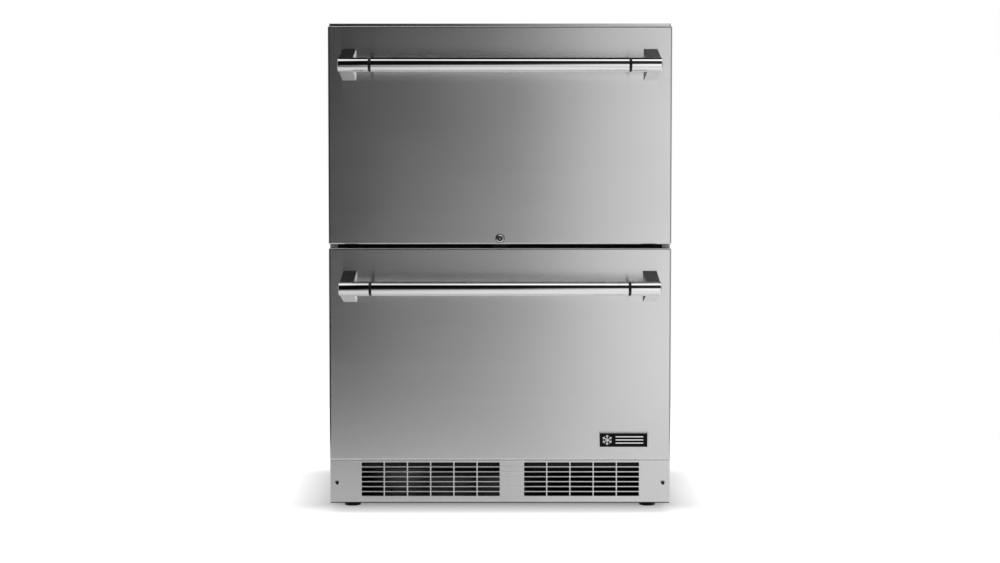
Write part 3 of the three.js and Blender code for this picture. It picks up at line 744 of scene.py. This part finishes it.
def foot(name):
    """Levelling foot: round pad, hexagon and threaded stem."""
    node = f"foot_{name}"
    low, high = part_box(node)
    centre = (low + high) / 2
    radius = (high.x - low.x) / 2 / MM
    pad = turned([(0, 0), (radius - 1.2, 0), (radius - 0.3, 0.4), (radius, 1.4), (radius - 0.4, 3.2),
                  (radius - 2.2, 6.2), (radius - 3.2, 6.9), (0, 7.0)], 56)
    nut = turned([(0, 6.6), (8.3, 6.6), (9.0, 7.2), (9.0, 11.0), (8.3, 11.5), (0, 11.5)], 6)
    start, turns, pitch = 11.2, 22, 1.4
    thread = [(0, start)]
    for turn in range(turns):
        thread += [(4.3, start + turn * pitch), (5.0, start + (turn + 0.5) * pitch)]
    thread += [(4.3, high.z / MM - 0.3), (0, high.z / MM)]
    work = joined(pad, nut, turned(thread, 24))
    add(f"levelling_{name}", move(work, (centre.x, centre.y, 0)), BLACK_PAINT_AND_SHADE, node, [node])


# ---- cabinet sheets

BACK_Y = CAD_BOUNDS[1].y / MM
PROUD = 0.9 * MM  # how far the back's screw heads stand out of its sheets
SCREW_BASE_Y = BACK_Y - 1.6


def sheet_work(name, node, radius, material):
    """One of the cabinet's CAD sheets with its edges rounded by radius in millimetres."""
    return add(name, softened(node, radius * MM), material, "cabinet", [node])


def cabinet_sheets():
    for word, _ in SIDES:
        sheet_work(f"side_{word}", f"side_panel_{word}", 0.45, SIDE_STEEL)
    cover = sheet_work("top_cover", "top_panel", 0.5, TOP_STEEL)
    bright_folds(cover.data, EDGE_STEEL, front=True)
    # black plastic breaker strips, their black also painted shade for the dark gaps round and between the
    # drawers
    sheet_work("front_frame_black_and_shade", "face_frame", 0.5, BLACK_PLASTIC)
    sheet_work("middle_rail_black_and_shade", "centre_rail", 0.5, BLACK_PLASTIC)
    sheet_work("liner", "inner_liner", 0.8, LINER_METAL)
    sheet_work("machine_roof", "machine_roof_panel", 0.4, ZINC)
    # black-painted base pan, whose black also serves as painted shade seen through the grille slots
    sheet_work("floor_pan_black_and_shade", "base_pan", 0.4, BLACK_PAINT_AND_SHADE)
    # the zinc strike is painted black here as painted shade in the gap between the drawers
    sheet_work("strike", "lock_strike", 0.3, BLACK_PAINT_AND_SHADE)
    paint("foam_insulation", FOAM)


def back_panel():
    """Zinc sheet with a shallow pressed field and a row of screws round its edge."""
    low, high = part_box("rear_panel")
    work = rounded_box(low, high - Vector((0, PROUD, 0)), 0.3 * MM, 2)
    work.faces.ensure_lookup_table()
    face = max(work.faces, key=lambda f: (round(f.calc_center_median().y, 5), f.calc_area()))
    bmesh.ops.inset_region(work, faces=[face], thickness=32 * MM)
    bmesh.ops.inset_region(work, faces=[face], thickness=3.0 * MM)
    bmesh.ops.translate(work, vec=(0, -0.45 * MM, 0), verts=face.verts)
    add("back_sheet", work, ZINC, "cabinet", ["rear_panel"])
    for x in (-284, -95, 95, 284):
        for z in (322, 852):
            back_screw(f"back_screw_{x + 300}_{z}", (x, SCREW_BASE_Y, z))


INLET = (210, 80)  # X and Z of the mains inlet's centre


def vent_cover():
    """Zinc sheet with three columns of vent slots and the inlet's cut-out."""
    low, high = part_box("rear_vent_cover")
    middle = (low.z + high.z) / 2 / MM
    slots = [mm(x, 74 + row * 22 - middle) for x in (-200, -100, 0) for row in range(10)]
    holes = [loop_points(80 * MM, 8 * MM, 3.9 * MM, at)[::-1] for at in slots]
    holes.append(loop_points(50 * MM, 30 * MM, 1.5 * MM, mm(INLET[0], INLET[1] - middle))[::-1])
    outline = loop_points(high.x - low.x, high.z - low.z, 2 * MM)
    thickness = high.y - low.y - PROUD
    plate = sheet_with_holes(outline, holes, thickness, 0.2 * MM)
    move(plate, (0, low.y + thickness / 2, middle * MM))
    add("vent_plate", plate, ZINC, "cabinet", ["rear_vent_cover"])
    for x in (-290, 290):
        for z in (34, 160, 286):
            back_screw(f"vent_screw_{x + 300}_{z}", (x, SCREW_BASE_Y, z))


def mains_inlet():
    """Recessed appliance inlet: shaped cavity, three flat blades and a fixing flange."""
    x, z = INLET
    loop = rounded_loop(*mm(x - 24.5, x + 24.5, z - 14.5, z + 14.5), 1.6 * MM)
    outer = [(-6.0, -22.0), (-1.2, -22.0), (0.0, -20.8), (0.0, -0.9), (-0.7, -0.2)]
    cavity = [(-7.4, -0.2), (-7.8, -0.6), (-8.0, -18.6)]
    profile = [mm(*point) for point in outer + cavity]
    shell = move(swept_loop(loop, profile, facing_front, False), (0, BACK_Y * MM, 0))
    blades = [block((x + dx - 1, x + dx + 1), (BACK_Y - 20, BACK_Y - 5), (z + dz - 2, z + dz + 2), 0.35)
              for dx, dz in ((-7, -2), (0, 3), (7, -2))]
    add("inlet_shell", shell, BLACK_PLASTIC, "cabinet", ["power_inlet"])
    add("inlet_blades", joined(*blades), LOCK_CHROME, "cabinet")


# ---- cooling system

COMPRESSOR = (150, 222)  # X and Y of its upright axis
CONDENSER_FAN = (-232, 225, 150)
EVAPORATOR_FAN = (0, 233, 700)


def compressor_unit():
    """Two-part welded shell with its seam flange, on a plate, with a terminal cover."""
    x, y = COMPRESSOR
    shell = turned([(0, 208), (16, 207.6), (30, 206), (42, 202.5), (52, 196.5), (60, 187), (65.5, 175),
                    (68, 162), (69.6, 126.4), (70.4, 124.6), (73, 123.4), (73, 116.8), (70.4, 115.4),
                    (70, 113), (70, 50), (68.5, 44), (64, 39), (57, 36.4), (0, 36)])
    add("compressor_shell", move(shell, mm(x, y, 0)), BLACK_PAINT_AND_SHADE, "cabinet", ["compressor"])
    plate = block((x - 78, x + 78), (y - 62, y + 62), (33, 37), 1.2)
    cover = block((x - 22, x + 22), (y - 92, y - 56), (90, 140), 4.0, 4)
    clip = block((x - 24, x + 24), (y - 90, y - 60), (112, 118), 0.8)
    add("compressor_plate", plate, ZINC, "cabinet")
    add("terminal_cover", joined(cover, clip), BLACK_PLASTIC, "cabinet")
    mounts = []
    for dx in (-64, 64):
        for dy in (-48, 48):
            bush = turned([(0, 21.6), (9, 21.6), (9, 25), (7, 26.5), (9, 28), (9, 31.5), (7.5, 33.6),
                           (0, 33.6)], 28)
            bolt = turned([(0, 36.9), (6, 36.9), (6, 40), (5.4, 40.8), (0, 40.8)], 6)
            mounts.append(move(joined(bush, bolt), mm(x + dx, y + dy, 0)))
    add("compressor_mounts", joined(*mounts), BLACK_PLASTIC, "cabinet")
    line = [(70, 190, 166), (64, 190, 172), (46, 184, 204), (20, 178, 240), (-40, 175, 261),
            (-150, 175, 267.4), (-240, 178, 268), (-268, 180, 267), (-272, 180, 256)]
    add("copper_line", wire(line, 3.4, 16), COPPER, "cabinet", ["discharge_line"])


def finned_coil(name, node, fin_material, radius, rows, pitch, along_x):
    """Stack of thin fins, a pitch apart, threaded by two columns of tubes with return bends."""
    low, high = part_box(node)
    length_axis, depth_axis = (0, 1) if along_x else (1, 0)
    columns = 2
    start, end = low[length_axis] + 9 * MM, high[length_axis] - 9 * MM
    count = int((end - start) / (pitch * MM))
    fins, tubes = [], []
    for i in range(count + 1):
        at = start + i * (end - start) / count
        half_thick = 0.7 * MM if i in (0, count) else 0.15 * MM
        fin_low, fin_high = low.copy(), high.copy()
        fin_low[length_axis] = at - half_thick
        fin_high[length_axis] = at + half_thick
        fins.append(rounded_box(fin_low, fin_high, 0))
    for column in range(columns):
        depth = low[depth_axis] + (column + 0.5) * (high[depth_axis] - low[depth_axis]) / columns
        points = []
        for row in range(rows):
            ends = (start - 4 * MM, end + 4 * MM)
            for at in ends if row % 2 == 0 else ends[::-1]:
                point = [0, 0, low.z + (row + 0.5) * (high.z - low.z) / rows]
                point[length_axis] = at
                point[depth_axis] = depth
                points.append(point)
        tubes.append(tube(with_return_bends(points, length_axis), radius * MM, 8))
    add(f"{name}_fins", joined(*fins), fin_material, "cabinet", [node])
    add(f"{name}_tubes", joined(*tubes), COPPER, "cabinet")


def with_return_bends(points, axis):
    """Serpentine through points, its turns rounded outwards along axis."""
    smooth = []
    middle = sum(point[axis] for point in points) / len(points)
    for index in range(0, len(points), 2):
        smooth += [points[index], points[index + 1]]
        if index + 2 < len(points):
            turn, following = points[index + 1], points[index + 2]
            away = 1 if turn[axis] > middle else -1
            for step in (1, 2, 3):
                angle = math.pi * step / 4
                point = list(turn)
                point[2] = turn[2] + (following[2] - turn[2]) * (1 - math.cos(angle)) / 2
                point[axis] = turn[axis] + away * 4.2 * MM * math.sin(angle)
                smooth.append(point)
    return smooth


def fan_wheel(radius, hub, half_depth, blades):
    """Axial fan about Z with twisted, cambered blades on a capped hub."""
    cap = lathe([(0, half_depth), (hub * 0.55, half_depth), (hub * 0.88, half_depth * 0.86),
                 (hub, half_depth * 0.55), (hub, -half_depth), (hub * 0.9, -half_depth),
                 (hub * 0.86, -half_depth * 0.8), (0, -half_depth * 0.8)], 40)
    turns = [2 * math.pi * index / blades for index in range(blades)]
    return joined(cap, *[fan_blade(radius, hub, half_depth, turn) for turn in turns])


def fan_blade(radius, hub, half_depth, turn):
    """One blade: a front and a back grid of points, closed round the edges."""
    across, outward = 8, 8
    blade = bmesh.new()
    grids = []
    for face in (1, -1):
        grid = []
        for i in range(outward + 1):
            t = i / outward
            r = hub * 0.92 + (radius - hub * 0.92) * t
            half_chord = (0.30 + 0.42 * t - 0.18 * t * t) * radius * 0.62
            pitch = 0.62 - 0.24 * t
            row = []
            for j in range(across + 1):
                u = 2 * j / across - 1
                camber = 0.9 * MM * (1 - u * u)
                half_thick = 0.8 * MM * (1 - 0.75 * u ** 4)
                swing = u * half_chord * math.cos(pitch) / r + turn + 0.12 * t * t
                rise = u * half_chord * math.sin(pitch) + camber + face * half_thick
                rise = max(-half_depth * 0.98, min(half_depth * 0.98, rise))
                row.append(blade.verts.new((r * math.cos(swing), r * math.sin(swing), rise)))
            grid.append(row)
        grids.append(grid)
        for i in range(outward):
            for j in range(across):
                blade.faces.new((grid[i][j], grid[i + 1][j], grid[i + 1][j + 1], grid[i][j + 1]))
    close_edges(blade, *grids)
    return blade


def close_edges(work, top, bottom):
    rim_top, rim_bottom = outline_of(top), outline_of(bottom)
    count = len(rim_top)
    for i in range(count):
        j = (i + 1) % count
        work.faces.new((rim_top[i], rim_top[j], rim_bottom[j], rim_bottom[i]))


def outline_of(grid):
    right = [row[-1] for row in grid[1:-1]]
    left = [row[0] for row in grid[1:-1]]
    return grid[0] + right + grid[-1][::-1] + left[::-1]


def fan_wheels():
    """The condenser's wheel turns about X, the evaporator's smaller one about Y."""
    wheel = move(turn_to(fan_wheel(78 * MM, 20 * MM, 11 * MM, 5), "X"), mm(*CONDENSER_FAN))
    add("condenser_wheel", wheel, BLACK_PLASTIC, "condenser_fan_wheel", ["condenser_fan"])
    wheel = move(turn_to(fan_wheel(48 * MM, 13 * MM, 8 * MM, 5), "Y"), mm(*EVAPORATOR_FAN))
    add("evaporator_wheel", wheel, BLACK_PLASTIC, "evaporator_fan_wheel", ["evaporator_fan"])


def condenser_motor():
    """Motor on a strap whose two bent arms reach past the wheel to the shroud."""
    x, y, z = CONDENSER_FAN
    motor = turned([(0, -20), (20, -20), (26, -17), (28, -13), (28, 13), (26, 17), (12, 19), (9, 20),
                    (0, 20)], 48)
    move(turn_to(motor, "X"), mm(x + 46, y, z))
    reach, plate_x, arm_x = 92, -243.7, -205
    arms = [block((arm_x - 5, arm_x), (y - reach, y + reach), (z - 7, z + 7), 1.0),
            block((plate_x, arm_x), (y - reach, y - reach + 3), (z - 7, z + 7), 0.8),
            block((plate_x, arm_x), (y + reach - 3, y + reach), (z - 7, z + 7), 0.8)]
    add("condenser_motor", joined(motor, *arms), BLACK_PAINT_AND_SHADE, "cabinet", ["condenser_fan_motor"])


def evaporator_motor():
    """Motor on a strap whose two bent arms reach past the wheel to the cover."""
    x, y, z = EVAPORATOR_FAN
    motor = turned([(0, -14), (15, -14), (19, -12), (20, -9), (20, 9), (18, 13), (0, 14)], 40)
    move(turn_to(motor, "Y"), mm(x, y + 27, z))
    reach, cover_y, strap_y = 64, 219.5, 253
    arms = [block((-reach, reach), (strap_y - 3, strap_y), (z - 6, z + 6), 0.8),
            block((-reach, 3 - reach), (cover_y, strap_y), (z - 6, z + 6), 0.8),
            block((reach - 3, reach), (cover_y, strap_y), (z - 6, z + 6), 0.8)]
    add("evaporator_motor", joined(motor, *arms), BLACK_PAINT_AND_SHADE, "cabinet", ["evaporator_fan_motor"])


def shroud():
    """Plate with a rolled inlet ring round the condenser fan."""
    _, y, z = CONDENSER_FAN
    centre_z, bore = 136.75, 85
    turn = [-2 * math.pi * i / 72 for i in range(72)]
    circle = [mm(bore * math.cos(t), bore * math.sin(t) + z - centre_z) for t in turn]
    plate = sheet_with_holes(loop_points(190 * MM, 230.5 * MM, 3 * MM), [circle], 2 * MM, 0.4 * MM)
    move(spin(plate, math.pi / 2, "Z"), mm(-245, y, centre_z))
    collar = turned([(bore, 0), (bore, 21.5), (85.5, 23.4), (86.4, 24), (87, 23.2), (87, 3), (88.5, 1),
                     (92, 0.4), (92, 0), (bore, 0)], 72)
    move(turn_to(collar, "X"), mm(-246, y, z))
    add("fan_shroud", joined(plate, collar), BLACK_PAINT_AND_SHADE, "cabinet", ["condenser_fan_shroud"])


def evaporator_housing():
    """Rounded cover with a wire guard of four rings and eight spokes before the fan."""
    sheet_work("evaporator_shell", "evaporator_cover", 0.5, LINER_METAL)
    x, _, z = EVAPORATOR_FAN
    guard_y, spoke_y, reach = 219.6, 220.6, 54
    turn = [2 * math.pi * i / 40 for i in range(41)]
    wires = []
    for radius in (16, 28, 40, 52):
        points = [(x + radius * math.cos(t), guard_y, z + radius * math.sin(t)) for t in turn]
        wires.append(wire(points, 0.9, 8))
    for angle in (0, math.pi / 4, math.pi / 2, 3 * math.pi / 4):
        dx, dz = reach * math.cos(angle), reach * math.sin(angle)
        ends = [(x - dx, spoke_y, z - dz), (x, spoke_y, z), (x + dx, spoke_y, z + dz)]
        wires.append(wire(ends, 0.9, 8))
    add("fan_guard", joined(*wires), LOCK_CHROME, "cabinet")


def drip_pan():
    """Moulded pan with a coved floor and a rounded rim."""
    loop = rounded_loop(*mm(-130, 55, 140, 320), 8 * MM)
    profile = [(-6, 21.5), (-1.5, 22.5), (0, 26), (0, 51.4), (-0.75, 52), (-1.5, 51.4), (-1.5, 27),
               (-6, 23.2)]
    pan = swept_loop(loop, [mm(*p) for p in profile], upright, False)
    add("drip_pan", pan, BLACK_PLASTIC, "cabinet", ["drain_pan"])


# ---- drawer insides

def storage_box(level):
    """Deep-drawn box: rounded corners, coved floor and a hemmed rim."""
    low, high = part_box(f"{level}_storage_box")
    loop = rounded_loop(low.x, high.x, low.y, high.y, 14 * MM, 8)
    bottom, top = low.z / MM, high.z / MM
    cove = [(-12, 0.0), (-6, 0.6), (-2.4, 2.6), (-0.6, 6.0), (0, 11)]
    hem = [(0.0, -7), (0.0, -1.4), (-0.5, -0.4), (-1.5, 0), (-2.6, -0.4), (-3.0, -1.4), (-3.0, -6.4),
           (-1.5, -7.2)]
    profile = [mm(out, bottom + up) for out, up in cove]
    profile += [mm(out, top + up) for out, up in hem]
    profile += [mm(out - 1.4, bottom + up + 1.5) for out, up in cove[::-1]]
    work = swept_loop(loop, profile, upright, False)
    add(f"{level}_bin", work, INNER_STEEL, f"{level}_drawer", [f"{level}_storage_box"])


def door_gasket(level):
    """Magnetic seal: dart base, two bellows folds and a soft lip towards the frame."""
    low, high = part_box(f"{level}_gasket")
    scale, depth = 0.999 * MM, high.y - low.y  # a hair narrower than the CAD gasket
    half_shape = [(0, 0.0), (0, 0.16), (1.2, 0.26), (1.2, 0.36), (0, 0.46), (0, 0.60), (1.4, 0.70),
                  (0.4, 0.84), (1.2, 0.97), (3, 1.0)]
    profile = [(-inset * scale, low.y + depth * up) for inset, up in half_shape]
    profile += [((inset - 16) * scale, low.y + depth * up) for inset, up in half_shape[::-1]]
    loop = rounded_loop(low.x, high.x, low.z, high.z, 16.5 * MM, 8)
    work = swept_loop(loop, profile, facing_front, True)
    add(f"{level}_seal", work, GASKET_RUBBER, f"{level}_drawer", [f"{level}_gasket"], 50)


def drawer_inside(level):
    body = f"{level}_drawer"
    panel = softened(f"{level}_front_inner_panel", 0.4 * MM)
    add(f"{level}_inner_sheet", panel, LINER_METAL, body, [f"{level}_front_inner_panel"])
    paint(f"{level}_front_foam", FOAM)
    storage_box(level)
    door_gasket(level)
    for word, side in SIDES:
        slides(level, word, side)


SLIDE_Z = {"upper": 662, "lower": 376}


def slides(level, word, side):
    """One side's three members, with two rows of balls and cages in each running gap."""
    middle_body = f"{level}_slide_middle_{word}"
    bodies = {"outer": "cabinet", "middle": middle_body, "inner": f"{level}_drawer"}
    for member, body in bodies.items():
        node = f"{level}_slide_{member}_{word}"
        add(f"{level}_rail_{member}_{word}", softened(node, 0.5 * MM), ZINC, body, [node])
    balls = []
    for x, dz in ((243.0, 19.75), (241.0, 15.75)):
        for z in (SLIDE_Z[level] - dz, SLIDE_Z[level] + dz):
            for i in range(14):
                ball = bmesh.new()
                bmesh.ops.create_icosphere(ball, subdivisions=2, radius=1.2 * MM)
                balls.append(move(ball, mm(side * x, -205 + i * 14, z)))
            balls.append(block((side * x - 1.6, side * x + 1.6), (-212, -16), (z - 0.4, z + 0.4), 0.15))
    add(f"{level}_balls_{word}", joined(*balls), LOCK_CHROME, middle_body)


# ---- studio

FLOOR_RADIUS = 1.2
FLOOR_PAINTED_GLOW = (0.31, 0.45)  # painted glow of the floor's left and right sides for all but camera rays, dimmer on the left as if lit from the right
SEEN_GLOW_WITH_PAINTED_SHADOW = (0.30, 0.85)  # camera-seen glow close to the cabinet, dimmed there as a painted shadow, and away from it


def floor():
    """Pale disc; the camera sees it over-exposed, as the backdrop is, save for a painted shadow close to
    the cabinet; other rays see a painted glow, dimmer on its left.
    """
    work = bmesh.new()
    bmesh.ops.create_circle(work, cap_ends=True, segments=96, radius=FLOOR_RADIUS)
    material = bpy.data.materials.new("floor_white_painted_glow_and_shadow")
    tree, shader = node_tree(material)
    shader.inputs["Base Color"].default_value = (0.9, 0.9, 0.9, 1)
    shader.inputs["Roughness"].default_value = 0.9
    shader.inputs["Specular IOR Level"].default_value = 0.1
    shader.inputs["Emission Color"].default_value = (1, 1, 1, 1)
    seen = add_node(tree, "ShaderNodeLightPath").outputs["Is Camera Ray"]
    place = add_node(tree, "ShaderNodeSeparateXYZ")
    tree.links.new(object_coordinates(tree, (1, 1, 1)), place.inputs["Vector"])
    # distance past the cabinet's footprint, over which the camera-seen glow rises out of a painted shadow
    beyond = []
    for axis, half in (("X", CAD_BOUNDS[1].x), ("Y", 0.165)):
        out = combine(tree, "SUBTRACT", combine(tree, "ABSOLUTE", place.outputs[axis], 0.0), half)
        out = combine(tree, "MAXIMUM", out, 0.0)
        beyond.append(combine(tree, "MULTIPLY", out, out))
    away = combine(tree, "SQRT", combine(tree, "ADD", *beyond), 0.0)
    # non-camera rays see a painted glow, dimmer on the left; camera rays see a painted shadow close to the
    # cabinet
    painted_glow_and_shadow = add_node(tree, "ShaderNodeMix")
    tree.links.new(seen, painted_glow_and_shadow.inputs["Factor"])
    tree.links.new(ramp_between(tree, place.outputs["X"], *FLOOR_PAINTED_GLOW, -0.3, 0.15), painted_glow_and_shadow.inputs["A"])
    tree.links.new(ramp_between(tree, away, *SEEN_GLOW_WITH_PAINTED_SHADOW, 0.0, 0.10), painted_glow_and_shadow.inputs["B"])
    tree.links.new(painted_glow_and_shadow.outputs["Result"], shader.inputs["Emission Strength"])
    mesh = mesh_from(work, "floor")
    mesh.materials.append(material)
    plane = bpy.data.objects.new("floor", mesh)
    SCENE.collection.objects.link(plane)


def table(tree, value, stops, low, high):
    """Piecewise straight line through (input, output) stops, for inputs from low to high."""
    ramp = add_node(tree, "ShaderNodeValToRGB")
    elements = ramp.color_ramp.elements
    elements.remove(elements[0])
    for index, (at, output) in enumerate(stops):
        position = (at - low) / (high - low)
        element = elements[0] if index == 0 else elements.new(position)
        element.position = position
        element.color = (output, output, output, 1)
    place = ramp_between(tree, value, 0, 1, math.radians(low), math.radians(high))
    tree.links.new(place, ramp.inputs["Fac"])
    return ramp.outputs["Color"]


# Brightness of the studio by elevation in degrees.
SKY_LEFT = ((-90, 0.7), (-40, 0.27), (-26, 0.15), (-18, 0.23), (-12, 0.20), (-8, 0.05), (-4, 0.002),
            (58, 0.002), (66, 0.03), (73, 0.34), (90, 0.5))
SKY_MIDDLE = ((-90, 0.8), (-36, 0.56), (-22, 0.62), (-12, 0.72), (-7, 0.38), (0, 0.05), (7, 0.04),
              (11, 0.005), (54, 0.003), (63, 0.03), (71, 1.1), (90, 1.3))
SKY_RIGHT = ((-90, 0.8), (-30, 0.68), (-14, 1.05), (-6, 0.95), (0, 0.86), (8, 1.3), (12, 0.05),
             (48, 0.01), (60, 0.06), (68, 1.2), (90, 1.4))
SKY_LEFT_WALL = ((-90, 0.7), (-34, 0.42), (-20, 0.015), (50, 0.01), (68, 0.8), (90, 1.2))
SKY_RIGHT_WALL = ((-90, 0.8), (-30, 0.42), (-10, 0.34), (20, 0.24), (42, 0.22), (60, 0.8), (90, 1.3))
SKY_FAR_SIDE = ((-90, 0.7), (-12, 0.5), (8, 0.42), (40, 0.6), (75, 1.2), (90, 1.3))
SKY_BEHIND = ((-90, 0.7), (-12, 0.5), (8, 0.42), (24, 0.40), (32, 0.01), (84, 0.01), (90, 0.8))

# How far each view gives way to the next, by angle in degrees: the first two by the angle off the
# middle plane, the rest by compass bearing, which is 0 towards the front.
TO_MIDDLE = ((-4.3, 0.0), (-3.75, 0.02), (-3.2, 0.24), (-2.3, 0.46), (-0.92, 0.77), (0.0, 1.0))
TO_RIGHT = ((0, 0.0), (0.92, 0.16), (1.6, 0.45), (2.3, 0.72), (3.2, 0.81), (3.8, 1.0))
TO_RIGHT_WALL = ((10, 0.0), (20, 1.0))
TO_FAR_RIGHT = ((60, 0.0), (105, 1.0))
TO_LEFT_WALL = ((-12, 1.0), (-7, 0.0))
TO_FAR_LEFT = ((-105, 1.0), (-80, 0.0))
TO_BEHIND = ((135, 0.0), (150, 1.0))


def studio_light():
    """Soft studio: bright ceiling and floor, dark in front and to the left, a pale wall to the right."""
    world = bpy.data.worlds.new("studio")
    SCENE.world = world
    world.use_nodes = True
    tree = world.node_tree
    coordinates = add_node(tree, "ShaderNodeTexCoord")
    split = add_node(tree, "ShaderNodeSeparateXYZ")
    tree.links.new(coordinates.outputs["Generated"], split.inputs["Vector"])
    x, y, z = split.outputs
    elevation = combine(tree, "ARCSINE", z, 0.0)
    bearing = combine(tree, "ARCTAN2", x, combine(tree, "MULTIPLY", y, -1.0))
    off_axis = combine(tree, "ABSOLUTE", bearing, 0.0)
    sideways = combine(tree, "ARCSINE", x, 0.0)
    light = table(tree, elevation, SKY_LEFT, -90, 90)
    steps = (
        (SKY_MIDDLE, TO_MIDDLE, sideways, 12),
        (SKY_RIGHT, TO_RIGHT, sideways, 12),
        (SKY_RIGHT_WALL, TO_RIGHT_WALL, bearing, 180),
        (SKY_FAR_SIDE, TO_FAR_RIGHT, bearing, 180),
        (SKY_LEFT_WALL, TO_LEFT_WALL, bearing, 180),
        (SKY_FAR_SIDE, TO_FAR_LEFT, bearing, 180),
        (SKY_BEHIND, TO_BEHIND, off_axis, 180),
    )
    for sky, change, angle, reach in steps:
        blend = add_node(tree, "ShaderNodeMix", data_type="RGBA")
        tree.links.new(table(tree, angle, change, -reach, reach), blend.inputs["Factor"])
        tree.links.new(light, blend.inputs["A"])
        tree.links.new(table(tree, elevation, sky, -90, 90), blend.inputs["B"])
        light = blend.outputs["Result"]
    seen = add_node(tree, "ShaderNodeLightPath")
    backdrop = add_node(tree, "ShaderNodeMix", data_type="RGBA")
    tree.links.new(seen.outputs["Is Camera Ray"], backdrop.inputs["Factor"])
    tree.links.new(light, backdrop.inputs["A"])
    backdrop.inputs["B"].default_value = (1.0, 1.0, 1.0, 1)
    tree.links.new(backdrop.outputs["Result"], tree.nodes["Background"].inputs["Color"])


CAMERA_DISTANCE = 4.5
CAMERA_HEIGHT = 0.80
CAMERA_TILT = math.radians(4.11)


def camera():
    low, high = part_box("upper_front_skin")
    data = bpy.data.cameras.new("camera")
    data.lens = 91.8
    data.sensor_width = 36.0
    data.shift_y = -0.034
    eye = bpy.data.objects.new("camera", data)
    SCENE.collection.objects.link(eye)
    eye.location = (0.0, low.y - CAMERA_DISTANCE, CAMERA_HEIGHT)
    eye.rotation_euler = (math.pi / 2 - CAMERA_TILT, 0.0, 0.0)
    SCENE.camera = eye


# ---- the object

def build():
    for level in LEVELS:
        front_skin(level)
        handle(level)
        drawer_inside(level)
    lock()
    badge()
    kick_grille()
    for name in ("front_left", "front_right", "rear_left", "rear_right"):
        foot(name)
    cabinet_sheets()
    back_panel()
    vent_cover()
    mains_inlet()
    compressor_unit()
    # the condenser's black fins are also painted shade behind the grille
    finned_coil("condenser", "condenser_coil", COATED_FINS_AND_SHADE, radius=3.2, rows=8, pitch=3.6, along_x=False)
    finned_coil("evaporator", "evaporator_coil", FIN_METAL, radius=3.6, rows=4, pitch=4.5, along_x=True)
    fan_wheels()
    condenser_motor()
    evaporator_motor()
    shroud()
    evaporator_housing()
    drip_pan()


camera()
studio_light()
floor()
build()
SCENE.view_settings.view_transform = "Standard"
